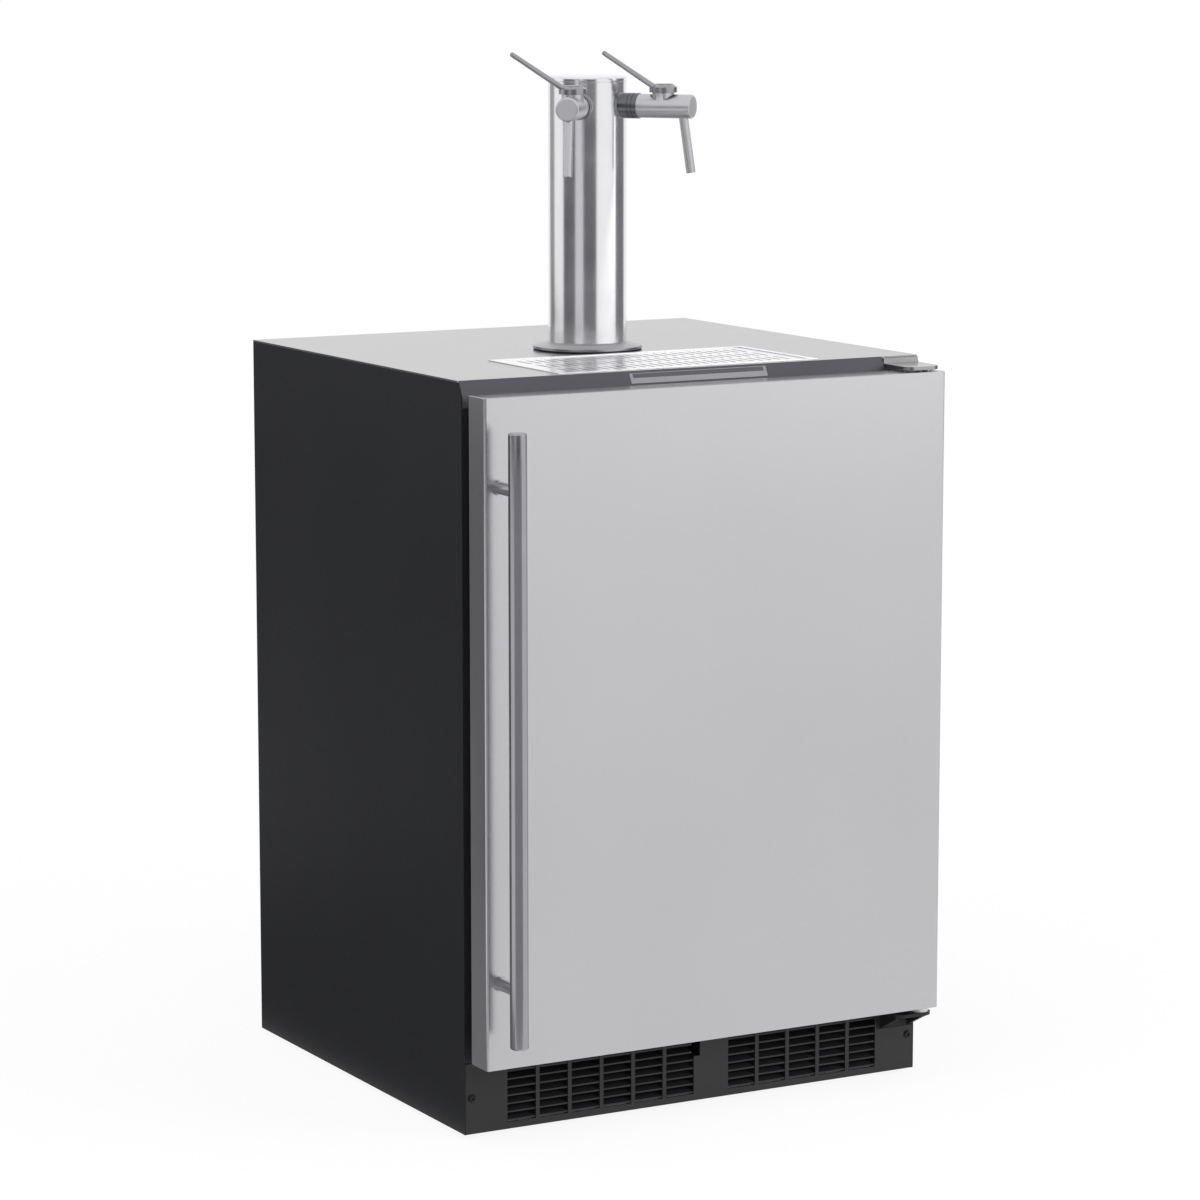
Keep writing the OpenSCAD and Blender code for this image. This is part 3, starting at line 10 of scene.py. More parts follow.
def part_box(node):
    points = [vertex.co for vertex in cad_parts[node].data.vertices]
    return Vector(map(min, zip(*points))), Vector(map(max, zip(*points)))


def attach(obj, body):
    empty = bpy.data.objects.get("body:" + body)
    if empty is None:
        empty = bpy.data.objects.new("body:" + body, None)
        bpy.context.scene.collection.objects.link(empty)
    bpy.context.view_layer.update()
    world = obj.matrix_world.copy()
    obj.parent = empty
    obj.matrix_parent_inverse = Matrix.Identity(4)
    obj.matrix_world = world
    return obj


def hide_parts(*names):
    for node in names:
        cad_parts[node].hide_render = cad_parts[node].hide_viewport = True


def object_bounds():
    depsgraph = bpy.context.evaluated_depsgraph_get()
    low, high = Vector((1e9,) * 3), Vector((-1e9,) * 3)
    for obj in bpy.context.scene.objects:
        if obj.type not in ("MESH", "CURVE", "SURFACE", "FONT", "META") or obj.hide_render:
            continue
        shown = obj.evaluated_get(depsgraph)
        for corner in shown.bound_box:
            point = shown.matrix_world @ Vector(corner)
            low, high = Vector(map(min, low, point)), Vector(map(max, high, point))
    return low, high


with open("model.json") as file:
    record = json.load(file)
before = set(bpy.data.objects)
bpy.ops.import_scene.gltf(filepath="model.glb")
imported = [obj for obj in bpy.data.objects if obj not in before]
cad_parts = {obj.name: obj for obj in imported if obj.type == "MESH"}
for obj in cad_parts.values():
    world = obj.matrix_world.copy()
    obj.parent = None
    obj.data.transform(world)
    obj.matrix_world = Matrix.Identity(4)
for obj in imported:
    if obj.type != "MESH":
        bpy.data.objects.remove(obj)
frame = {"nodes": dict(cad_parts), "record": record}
cad_low, cad_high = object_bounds()
MM = 0.001


# Small helpers

def linear(hex_code):
    """An sRGB hex colour as linear RGBA."""
    channels = [int(hex_code[i:i + 2], 16) / 255 for i in (1, 3, 5)]
    return [c / 12.92 if c <= 0.04045 else ((c + 0.055) / 1.055) ** 2.4 for c in channels] + [1.0]


def per_size(size):
    """Texture scale at which a pattern's features are about size millimetres wide."""
    return 1 / (size * MM)


def add(tree, kind, inputs=None, **settings):
    """Adds one node. Settings are its own properties, inputs are constants or the sockets that feed it."""
    made = tree.nodes.new(kind)
    for name, value in settings.items():
        setattr(made, name, value)
    for name, value in (inputs or {}).items():
        if isinstance(value, bpy.types.NodeSocket):
            tree.links.new(value, made.inputs[name])
        else:
            made.inputs[name].default_value = value
    return made


def new_finish(name):
    """An empty node material and its tree."""
    material = bpy.data.materials.new(name)
    material.use_nodes = True
    material.node_tree.nodes.clear()
    return material, material.node_tree


def varied(tree, pattern, low, high):
    """A number that runs from low to high with a pattern."""
    return add(tree, "ShaderNodeMapRange", {"Value": pattern, "To Min": low, "To Max": high}).outputs[0]


def two_tone(tree, pattern, first, second):
    """A colour that runs from first to second with a pattern."""
    mix = add(tree, "ShaderNodeMix", {0: pattern, 6: linear(first), 7: linear(second)}, data_type="RGBA")
    return mix.outputs[2]


def close_finish(tree, shader):
    add(tree, "ShaderNodeOutputMaterial", {"Surface": shader.outputs[0]})


# Finishes

def powder_coat(name, first, second, roughness=0.5, specular=0.25):
    """Baked powder coat on sheet steel: satin, a little uneven, with a fine orange peel."""
    material, tree = new_finish(name)
    place = add(tree, "ShaderNodeTexCoord").outputs["Object"]
    cloud = add(tree, "ShaderNodeTexNoise", {"Vector": place, "Scale": per_size(140), "Detail": 2}).outputs[0]
    # The real peel is about 0.7 mm, drawn at 2 mm so that it shows.
    peel = add(tree, "ShaderNodeTexNoise", {"Vector": place, "Scale": per_size(2), "Detail": 3}).outputs[0]
    bump = add(tree, "ShaderNodeBump", {"Height": peel, "Strength": 0.12, "Distance": 0.2 * MM})
    shader = add(tree, "ShaderNodeBsdfPrincipled", {
        "Base Color": two_tone(tree, cloud, first, second),
        "Roughness": varied(tree, peel, roughness - 0.06, roughness + 0.06),
        "Specular IOR Level": specular, "Normal": bump.outputs[0]})
    close_finish(tree, shader)
    return material


def brushed_steel(name, grain, first, second, roughness=0.27, depth=0.05):
    """Stainless sheet brushed one way: fine long scratches that smear what it mirrors across the grain."""
    material, tree = new_finish(name)
    place = add(tree, "ShaderNodeTexCoord").outputs["Object"]
    # Real scratches are about 0.1 mm wide, drawn at 0.9 mm so that they show.
    along, across = per_size(220), per_size(0.9)
    stretch = [along if axis == grain else across for axis in "XYZ"]
    lines = add(tree, "ShaderNodeVectorMath", {0: place, 1: stretch}, operation="MULTIPLY").outputs[0]
    scratch = add(tree, "ShaderNodeTexNoise", {"Vector": lines, "Scale": 1.0, "Detail": 3}).outputs[0]
    cloud = add(tree, "ShaderNodeTexNoise", {"Vector": place, "Scale": per_size(260), "Detail": 1}).outputs[0]
    bump = add(tree, "ShaderNodeBump", {"Height": scratch, "Strength": depth, "Distance": 0.1 * MM})
    run = [1.0 if axis == grain else 0.0 for axis in "XYZ"]
    tangent = add(tree, "ShaderNodeCombineXYZ", {"X": run[0], "Y": run[1], "Z": run[2]}).outputs[0]
    shader = add(tree, "ShaderNodeBsdfPrincipled", {
        "Base Color": two_tone(tree, cloud, first, second), "Metallic": 1.0,
        "Roughness": varied(tree, scratch, roughness - 0.05, roughness + 0.05),
        "Anisotropic": 0.4, "Tangent": tangent, "Normal": bump.outputs[0]})
    close_finish(tree, shader)
    return material


def polished_steel(name, first, second, roughness=0.09):
    """Stainless polished on a wheel: mirror bright, with faint wipe marks round the piece."""
    material, tree = new_finish(name)
    place = add(tree, "ShaderNodeTexCoord").outputs["Object"]
    wipe = add(tree, "ShaderNodeTexNoise", {"Vector": place, "Scale": per_size(30), "Detail": 4}).outputs[0]
    shader = add(tree, "ShaderNodeBsdfPrincipled", {
        "Base Color": two_tone(tree, wipe, first, second), "Metallic": 1.0,
        "Roughness": varied(tree, wipe, roughness - 0.03, roughness + 0.05)})
    close_finish(tree, shader)
    return material


def galvanised_sheet(name, first, second):
    """Hot-dip zinc on sheet steel: dull grey with crystal spangles of many tones."""
    material, tree = new_finish(name)
    place = add(tree, "ShaderNodeTexCoord").outputs["Object"]
    spangle = add(tree, "ShaderNodeTexVoronoi", {"Vector": place, "Scale": per_size(7)})
    tone = add(tree, "ShaderNodeRGBToBW", {"Color": spangle.outputs["Color"]}).outputs[0]
    shader = add(tree, "ShaderNodeBsdfPrincipled", {
        "Base Color": two_tone(tree, tone, first, second), "Metallic": 0.85,
        "Roughness": varied(tree, tone, 0.38, 0.56)})
    close_finish(tree, shader)
    return material


def moulded_plastic(name, first, second, roughness=0.45, grain=1.2, depth=0.15, specular=0.4):
    """Moulded plastic with the fine spark-eroded grain of its tool."""
    material, tree = new_finish(name)
    place = add(tree, "ShaderNodeTexCoord").outputs["Object"]
    cloud = add(tree, "ShaderNodeTexNoise", {"Vector": place, "Scale": per_size(90), "Detail": 2}).outputs[0]
    pits = add(tree, "ShaderNodeTexNoise", {"Vector": place, "Scale": per_size(grain), "Detail": 2}).outputs[0]
    bump = add(tree, "ShaderNodeBump", {"Height": pits, "Strength": depth, "Distance": 0.1 * MM})
    shader = add(tree, "ShaderNodeBsdfPrincipled", {
        "Base Color": two_tone(tree, cloud, first, second),
        "Roughness": varied(tree, pits, roughness - 0.05, roughness + 0.08),
        "Specular IOR Level": specular, "Normal": bump.outputs[0]})
    close_finish(tree, shader)
    return material


def smoked_acrylic(name, first, second):
    """Glossy smoked acrylic window over a dark board."""
    material, tree = new_finish(name)
    place = add(tree, "ShaderNodeTexCoord").outputs["Object"]
    cloud = add(tree, "ShaderNodeTexNoise", {"Vector": place, "Scale": per_size(40), "Detail": 1}).outputs[0]
    shader = add(tree, "ShaderNodeBsdfPrincipled", {
        "Base Color": two_tone(tree, cloud, first, second),
        "Roughness": varied(tree, cloud, 0.06, 0.12), "Coat Weight": 0.6})
    close_finish(tree, shader)
    return material


side_paint = powder_coat("black_powder_coat", "#1b1c1f", "#202124", specular=0.2)
bracket_paint = powder_coat("black_bracket_coat", "#1e1e20", "#242426")
fascia_paint = powder_coat("dark_grey_fascia_coat", "#3f3f46", "#49494f", roughness=0.4, specular=0.3)
screw_black = powder_coat("black_oxide_screw", "#161618", "#1e1e20", roughness=0.4)
compressor_enamel = powder_coat("gloss_black_enamel", "#121214", "#19191b", roughness=0.22, specular=0.5)
door_steel = brushed_steel("brushed_stainless_door", "Z", "#bbbbbe", "#c0c0c3", roughness=0.24)
top_steel = brushed_steel("brushed_stainless_worktop", "X", "#9c9c9c", "#a2a2a2", roughness=0.22)
# Painted light: the tray's steel is much lighter than the door's, to make up for the shade in its slots.
lightened_tray_steel = brushed_steel("brushed_stainless_tray_painted_light", "X", "#f2f2f4", "#f8f8fa", roughness=0.24)
bright_steel = polished_steel("polished_stainless", "#e2e2e5", "#ececee", roughness=0.17)
# Painted shade: the handle bar's steel is darker than the door's, standing for the dark studio it mirrors.
handle_steel_painted_shade = polished_steel("satin_stainless", "#9c9ca0", "#a6a6aa", roughness=0.18)
tap_steel = polished_steel("bead_blasted_stainless", "#bdbdc1", "#c8c8cb", roughness=0.3)
# Painted shade: the levers' and flange's steel is mid grey, standing for the darker studio they mirror.
lever_steel_painted_shade = polished_steel("lever_stainless_painted_shade", "#97979c", "#a3a3a7", roughness=0.24)
# Painted shade: the collars' steel is dark, standing for the dark studio they mirror.
collar_steel = polished_steel("collar_stainless_painted_shade", "#68696d", "#747579", roughness=0.24)
plain_steel = brushed_steel("plain_stainless", "Z", "#bdbdc0", "#c6c6c8")
zinc_sheet = galvanised_sheet("galvanised_sheet", "#8f9295", "#a6a9ac")
fin_metal = galvanised_sheet("mill_finish_aluminium", "#a9acae", "#bfc2c4")
liner_plastic = moulded_plastic("vacuum_formed_liner", "#dcdedf", "#e2e4e5", roughness=0.36, depth=0.06)
black_plastic = moulded_plastic("moulded_black_plastic", "#1d1d1f", "#222224")
control_metal = moulded_plastic("satin_anodised_strip", "#7e7e82", "#8a8a8e", roughness=0.35, depth=0.05)
display_glass = smoked_acrylic("smoked_acrylic", "#3a3b40", "#424348")
black_rubber = moulded_plastic("black_rubber", "#131314", "#191919", roughness=0.62, depth=0.1, specular=0.3)
lamp_opal = moulded_plastic("opal_acrylic", "#f0f0ea", "#f5f5ef", roughness=0.3, depth=0.03)
bush_acetal = moulded_plastic("white_acetal", "#e6e6e1", "#ededea", roughness=0.4, depth=0.04)
foam_fill = moulded_plastic("rigid_foam", "#e3d6a4", "#ead9ae", roughness=0.8, grain=3, depth=0.4, specular=0.2)

NODE_FINISHES = {
    side_paint: ["left_side_panel", "right_side_panel"],
    bracket_paint: ["bottom_hinge_bracket"],
    fascia_paint: ["front_fascia"],
    screw_black: ["cabinet_screws"],
    compressor_enamel: ["compressor"],
    door_steel: ["door_skin"],
    top_steel: ["worktop", "keg_floor_plate", "top_hinge_plate"],
    lightened_tray_steel: ["drip_pan", "drip_grate"],
    bright_steel: ["tower_column", "tower_cap"],
    handle_steel_painted_shade: ["door_handle_bar"],
    tap_steel: ["left_tap_body", "right_tap_body", "tap_end_caps", "left_tap_spout", "right_tap_spout",
                "door_handle_posts"],
    lever_steel_painted_shade: ["left_tap_lever", "right_tap_lever", "tower_flange"],
    collar_steel: ["tap_collars"],
    plain_steel: ["hinge_pins", "stainless_screws", "beverage_lines", "tap_shanks", "left_valve_stem",
                  "right_valve_stem"],
    zinc_sheet: ["back_panel", "base_pan", "step_panel", "rear_cover"],
    fin_metal: ["condenser", "evaporator"],
    liner_plastic: ["inner_liner", "door_inner_panel", "evaporator_cover"],
    black_plastic: ["toe_grille", "condenser_fan_frame", "evaporator_fan_frame", "condenser_fan",
                    "evaporator_fan", "condensate_pan", "power_gland"],
    control_metal: ["control_panel"],
    display_glass: ["control_display"],
    black_rubber: ["compressor_mounts", "tower_gasket", "door_gasket", "front_left_foot", "front_right_foot",
                   "rear_left_foot", "rear_right_foot"],
    lamp_opal: ["chamber_light"],
    bush_acetal: ["door_hinge_bushes"],
    foam_fill: ["cabinet_foam", "door_foam"],
}
for finish, nodes in NODE_FINISHES.items():
    for node in nodes:
        slots = frame["nodes"][node].material_slots
        for slot in slots:
            slot.material = finish


# Pieces

BODY_OF = {node: body for body, nodes in frame["record"]["behaviour"]["bodies"].items() for node in nodes}
JOINT_OF = {joint["name"]: joint for joint in frame["record"]["behaviour"]["joints"]}
SHARP = math.radians(35)


def finish_of(node):
    return frame["nodes"][node].material_slots[0].material


def goes_with(piece, node):
    """The piece moves with a CAD node."""
    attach(piece, BODY_OF[node])


def stands_for(piece, node):
    """The piece moves with a CAD node and is shown in its place."""
    goes_with(piece, node)
    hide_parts(node)


def new_piece(name, mesh, finish, sharp=SHARP):
    """Shows a mesh as an object at the origin, smooth but for edges sharper than an angle."""
    mesh.materials.clear()
    mesh.materials.append(finish)
    mesh.shade_smooth()
    mesh.set_sharp_from_angle(angle=sharp)
    piece = bpy.data.objects.new(name, mesh)
    bpy.context.scene.collection.objects.link(piece)
    return piece


def settled(piece):
    """The mesh that a piece's modifiers make. They are removed."""
    mesh = bpy.data.meshes.new_from_object(piece.evaluated_get(bpy.context.evaluated_depsgraph_get()))
    piece.modifiers.clear()
    return mesh


def solid_of(node):
    """A CAD node's mesh with its split corners joined."""
    shape = bmesh.new()
    shape.from_mesh(frame["nodes"][node].data)
    bmesh.ops.remove_doubles(shape, verts=shape.verts, dist=0.005 * MM)
    return shape


def mesh_of(name, shape):
    mesh = bpy.data.meshes.new(name)
    shape.to_mesh(mesh)
    shape.free()
    return mesh


def eased(node, radius):
    """A CAD node with its sharp edges rounded, as folding, casting or deburring leaves them."""
    shape = solid_of(node)
    bmesh.ops.dissolve_limit(shape, angle_limit=math.radians(1), verts=shape.verts, edges=shape.edges)
    edges = [edge for edge in shape.edges if len(edge.link_faces) == 2 and edge.calc_face_angle() > SHARP]
    bmesh.ops.bevel(shape, geom=edges, offset=radius * MM, segments=2, profile=0.5, affect="EDGES",
                    clamp_overlap=True)
    piece = new_piece(node + "_eased", mesh_of(node + "_eased", shape), finish_of(node), sharp=math.pi)
    piece.modifiers.new("face_weights", "WEIGHTED_NORMAL")
    piece.data = settled(piece)
    stands_for(piece, node)


# Edge radius of each eased node, in millimetres
EDGE_RADII = {
    0.2: ["worktop", "drip_pan", "drip_grate"],
    0.4: ["left_side_panel", "right_side_panel", "control_panel", "toe_grille", "back_panel", "rear_cover"],
    0.6: ["front_fascia", "keg_floor_plate", "left_tap_body", "right_tap_body", "left_tap_lever",
          "right_tap_lever", "tower_flange", "tower_cap", "power_gland", "condensate_pan"],
    0.8: ["door_skin", "top_hinge_plate", "bottom_hinge_bracket", "chamber_light", "evaporator_cover",
          "door_handle_bar", "front_left_foot", "front_right_foot", "rear_left_foot", "rear_right_foot",
          "compressor_mounts"],
    1.5: ["door_inner_panel", "compressor"],
}
for radius, nodes in EDGE_RADII.items():
    for node in nodes:
        eased(node, radius)


def new_recipe(name, **inputs):
    """An empty Geometry Nodes tree with named inputs, given as socket kinds, and its input sockets."""
    tree = bpy.data.node_groups.new(name, "GeometryNodeTree")
    tree.interface.new_socket("Geometry", in_out="INPUT", socket_type="NodeSocketGeometry")
    for label, kind in inputs.items():
        tree.interface.new_socket(label, in_out="INPUT", socket_type="NodeSocket" + kind)
    tree.interface.new_socket("Geometry", in_out="OUTPUT", socket_type="NodeSocketGeometry")
    return tree, add(tree, "NodeGroupInput").outputs


def serve(tree, instances, finish):
    """Ends a recipe: its instances become plain mesh with a finish."""
    plain = add(tree, "GeometryNodeRealizeInstances", {"Geometry": instances}).outputs[0]
    painted = add(tree, "GeometryNodeSetMaterial", {"Geometry": plain, "Material": finish}).outputs[0]
    add(tree, "NodeGroupOutput", {"Geometry": painted})


def cooked(name, seed, recipe, **values):
    """The piece that a recipe makes from a seed mesh, with the recipe's inputs set by name."""
    piece = bpy.data.objects.new(name, seed)
    bpy.context.scene.collection.objects.link(piece)
    modifier = piece.modifiers.new("recipe", "NODES")
    modifier.node_group = recipe
    for item in recipe.interface.items_tree:
        if item.in_out == "INPUT" and item.name in values:
            modifier[item.identifier] = values[item.name]
    made = settled(piece)
    bpy.data.objects.remove(piece)
    return new_piece(name, made, values["finish"])


def screw_recipe():
    """Button-head screws with a hex socket, one for each seed point, along its own direction."""
    tree, given = new_recipe("button_head_screws", head_radius="Float", key_radius="Float",
                             shank_radius="Float", finish="Material")
    head_r = given["head_radius"]
    # The head is drawn one unit high and stretched to each screw's own height. Its foot is the lower half and
    # its crown the upper half, and the key's socket is sunk from the top.
    foot = add(tree, "GeometryNodeMeshCylinder", {"Vertices": 20, "Radius": head_r,
                                                  "Depth": 0.5}).outputs["Mesh"]
    foot = add(tree, "GeometryNodeTransform", {"Geometry": foot, "Translation": (0, 0, 0.25)}).outputs[0]
    crown_r = add(tree, "ShaderNodeMath", {0: head_r, 1: 0.72}, operation="MULTIPLY").outputs[0]
    crown = add(tree, "GeometryNodeMeshCone", {"Vertices": 20, "Radius Top": crown_r, "Radius Bottom": head_r,
                                               "Depth": 0.5}).outputs["Mesh"]
    crown = add(tree, "GeometryNodeTransform", {"Geometry": crown, "Translation": (0, 0, 0.5)}).outputs[0]
    key = add(tree, "GeometryNodeMeshCylinder", {"Vertices": 6, "Radius": given["key_radius"],
                                                 "Depth": 1.0}).outputs["Mesh"]
    key = add(tree, "GeometryNodeTransform", {"Geometry": key, "Translation": (0, 0, 0.9)}).outputs[0]
    blank = add(tree, "GeometryNodeMeshBoolean", {"Mesh 2": foot}, operation="UNION")
    tree.links.new(crown, blank.inputs["Mesh 2"])
    head = add(tree, "GeometryNodeMeshBoolean", {"Mesh 1": blank.outputs[0], "Mesh 2": key},
               operation="DIFFERENCE")
    shank = add(tree, "GeometryNodeMeshCylinder", {"Vertices": 12, "Radius": given["shank_radius"],
                                                   "Depth": 1.0}).outputs["Mesh"]
    shank = add(tree, "GeometryNodeTransform", {"Geometry": shank, "Translation": (0, 0, -0.5)}).outputs[0]
    aim = add(tree, "GeometryNodeInputNamedAttribute", {"Name": "aim"}, data_type="FLOAT_VECTOR").outputs[0]
    turn = add(tree, "FunctionNodeAlignRotationToVector", {"Vector": aim}, axis="Z").outputs[0]
    screws = add(tree, "GeometryNodeJoinGeometry")
    for shape, length in ((head.outputs[0], "head"), (shank, "shank")):
        stretch = add(tree, "GeometryNodeInputNamedAttribute", {"Name": length}, data_type="FLOAT").outputs[0]
        scale = add(tree, "ShaderNodeCombineXYZ", {"X": 1.0, "Y": 1.0, "Z": stretch}).outputs[0]
        placed = add(tree, "GeometryNodeInstanceOnPoints", {"Points": given["Geometry"], "Instance": shape,
                                                            "Rotation": turn, "Scale": scale}).outputs[0]
        tree.links.new(placed, screws.inputs[0])
    serve(tree, screws.outputs[0], given["finish"])
    return tree


def islands(shape):
    """The points of each separate solid of a mesh."""
    left = set(shape.verts)
    while left:
        reached, waiting = [], [left.pop()]
        while waiting:
            vert = waiting.pop()
            reached.append(vert.co.copy())
            near = {edge.other_vert(vert) for edge in vert.link_edges} & left
            left -= near
            waiting += near
        yield reached


def screw_seats(node):
    """A seed point at each screw of a CAD node, with its direction, head height and shank length."""
    middle = (cad_low + cad_high) / 2
    shape = solid_of(node)
    seats = []
    for points in islands(shape):
        low = Vector(min(p[i] for p in points) for i in range(3))
        high = Vector(max(p[i] for p in points) for i in range(3))
        size, centre = high - low, (low + high) / 2
        # The round head makes two sides of the box equal, so the third runs along the screw.
        along = max(range(3), key=lambda i: min(abs(size[i] - size[j]) for j in range(3) if j != i))
        outward = math.copysign(1, centre[along] - middle[along])
        aim = Vector([outward if i == along else 0 for i in range(3)])
        rim = max((p - centre).cross(aim).length for p in points)
        heights = [(p - centre).dot(aim) for p in points if (p - centre).cross(aim).length > 0.9 * rim]
        if max(heights) < 0:
            aim, heights = -aim, [-height for height in heights]
        head = max(heights) - min(heights)
        seats.append((centre + min(heights) * aim, aim, head, max(size[along] - head, head)))
    shape.free()
    mesh = bpy.data.meshes.new(node + "_seats")
    places, aims, heads, shanks = zip(*seats)
    mesh.from_pydata(places, [], [])
    directions = mesh.attributes.new("aim", "FLOAT_VECTOR", "POINT").data
    directions.foreach_set("vector", [c for aim in aims for c in aim])
    mesh.attributes.new("head", "FLOAT", "POINT").data.foreach_set("value", heads)
    mesh.attributes.new("shank", "FLOAT", "POINT").data.foreach_set("value", shanks)
    return mesh


button_screws = screw_recipe()
for node in ("cabinet_screws", "stainless_screws"):
    screws = cooked(node + "_cut", screw_seats(node), button_screws, head_radius=4.5 * MM, key_radius=2.1 * MM,
                    shank_radius=2.5 * MM, finish=finish_of(node))
    stands_for(screws, node)


def fin_recipe():
    """A row of thin fins, each a plate of the given size, one step apart."""
    tree, given = new_recipe("fin_row", fin_size="Vector", first="Vector", step="Vector", count="Int",
                             finish="Material")
    plate = add(tree, "GeometryNodeMeshCube", {"Size": given["fin_size"]}).outputs["Mesh"]
    row = add(tree, "GeometryNodeMeshLine", {"Count": given["count"], "Start Location": given["first"],
                                             "Offset": given["step"]}, mode="OFFSET").outputs[0]
    fins = add(tree, "GeometryNodeInstanceOnPoints", {"Points": row, "Instance": plate}).outputs[0]
    serve(tree, fins, given["finish"])
    return tree


def tube(name, route, radius, finish):
    """A round tube along a smooth route."""
    curve = bpy.data.curves.new(name, "CURVE")
    curve.dimensions = "3D"
    curve.bevel_depth = radius
    curve.bevel_resolution = 3
    curve.use_fill_caps = True
    spline = curve.splines.new("POLY")
    spline.points.add(len(route) - 1)
    for point, place in zip(spline.points, route):
        point.co = (*place, 1)
    drawn = bpy.data.objects.new(name, curve)
    bpy.context.scene.collection.objects.link(drawn)
    mesh = settled(drawn)
    bpy.data.objects.remove(drawn)
    return new_piece(name, mesh, finish)


def serpentine(low, high, run, passes):
    """A route that goes to and fro along axis number run, rising from pass to pass, with round bends."""
    middle = (low + high) / 2
    rise = (high.z - low.z) / passes
    bend = rise / 2
    route = []
    for i in range(passes):
        height = low.z + (i + 0.5) * rise
        ends = (low[run], high[run]) if i % 2 == 0 else (high[run], low[run])
        outward = 1 if i % 2 == 0 else -1
        for at in ends:
            place = middle.copy()
            place[run], place.z = at, height
            route.append(place)
        if i < passes - 1:
            for k in range(1, 12):
                angle = math.pi * k / 12
                place = middle.copy()
                place[run] = ends[1] + outward * bend * math.sin(angle)
                place.z = height + bend * (1 - math.cos(angle))
                route.append(place)
    return route


def finned_coil(node, run, fins, passes, tube_r):
    """A heat exchanger: thin fins square to axis number run, and one tube that winds through them."""
    low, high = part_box(node)
    # Real fins are 0.15 mm thick, drawn at 0.4 mm.
    fin_t = 0.4 * MM
    size = high - low
    step = Vector((0, 0, 0))
    step[run] = (size[run] - fin_t) / (fins - 1)
    first = (low + high) / 2
    first[run] = low[run] + fin_t / 2
    size[run] = fin_t
    seed = bpy.data.meshes.new(node + "_seed")
    row = cooked(node + "_fins", seed, fin_row, fin_size=size, first=first, step=step, count=fins,
                 finish=finish_of(node))
    stands_for(row, node)
    coil = tube(node + "_coil", serpentine(low, high, run, passes), tube_r * MM, plain_steel)
    goes_with(coil, node)


fin_row = fin_recipe()
finned_coil("condenser", 1, fins=64, passes=8, tube_r=4)
finned_coil("evaporator", 0, fins=84, passes=6, tube_r=4)


def bellows_gasket():
    """Magnetic door gasket: a foot on the door, a folding neck and a wide magnet tube, with mitred corners."""
    low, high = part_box("door_gasket")
    # Distance in from the outer edge and height above the door, in millimetres, down one half of the section
    half = [(0.5, 0), (0.5, 1.4), (5.5, 2.2), (8.2, 3.6), (8.2, 4.4), (5.2, 5.8), (5.2, 6.6), (7.2, 7.6),
            (2.6, 8.6), (1.2, 9.6), (0.8, 11.5), (1.2, 13.6), (2.4, 14.8)]
    width = 22
    section = half + [(width - u, v) for u, v in reversed(half)]
    shape = bmesh.new()
    rings = []
    for u, v in section:
        x0, x1, z0, z1 = low.x + u * MM, high.x - u * MM, low.z + u * MM, high.z - u * MM
        y = low.y + v * MM
        rings.append([shape.verts.new((x, y, z)) for x, z in ((x0, z0), (x1, z0), (x1, z1), (x0, z1))])
    for i, ring in enumerate(rings):
        past = rings[(i + 1) % len(rings)]
        for k in range(4):
            shape.faces.new((ring[k], past[k], past[(k + 1) % 4], ring[(k + 1) % 4]))
    bmesh.ops.recalc_face_normals(shape, faces=shape.faces)
    piece = new_piece("door_gasket_bellows", mesh_of("door_gasket_bellows", shape), finish_of("door_gasket"))
    stands_for(piece, "door_gasket")


def fan_rotor(node, joint_name, blades):
    """A moulded axial fan: a round-nosed hub and twisted blades with swept tips."""
    joint = JOINT_OF[joint_name]
    axis, at = Vector(joint["axis"]), Vector(joint["pos_m"])
    points = [vert.co - at for vert in frame["nodes"][node].data.vertices]
    depths = [p.dot(axis) for p in points]
    low, depth = min(depths), max(depths) - min(depths)
    tip_r = max(p.cross(axis).length for p in points)
    hub_r, bore_r, nose = 22 * MM, 2.6 * MM, 5 * MM
    shape = bmesh.new()
    corner = [(hub_r - nose + nose * math.cos(t), depth - nose + nose * math.sin(t))
              for t in [math.pi / 2 * k / 6 for k in range(7)]]
    profile = [(bore_r, 0), (hub_r, 0)] + corner + [(bore_r, depth)]
    sides = 48
    rings = [[shape.verts.new((r * math.cos(2 * math.pi * k / sides), r * math.sin(2 * math.pi * k / sides), z))
              for k in range(sides)] for r, z in profile]
    for i, ring in enumerate(rings):
        past = rings[(i + 1) % len(rings)]
        for k in range(sides):
            shape.faces.new((ring[k], ring[(k + 1) % sides], past[(k + 1) % sides], past[k]))
    for blade in range(blades):
        twisted_blade(shape, 2 * math.pi * blade / blades, hub_r - 2 * MM, tip_r, depth)
    bmesh.ops.recalc_face_normals(shape, faces=shape.faces)
    turn = Vector((0, 0, 1)).rotation_difference(axis).to_matrix().to_4x4()
    shape.transform(Matrix.Translation(at + low * axis) @ turn)
    piece = new_piece(node + "_moulded", mesh_of(node + "_moulded", shape), finish_of(node))
    stands_for(piece, node)


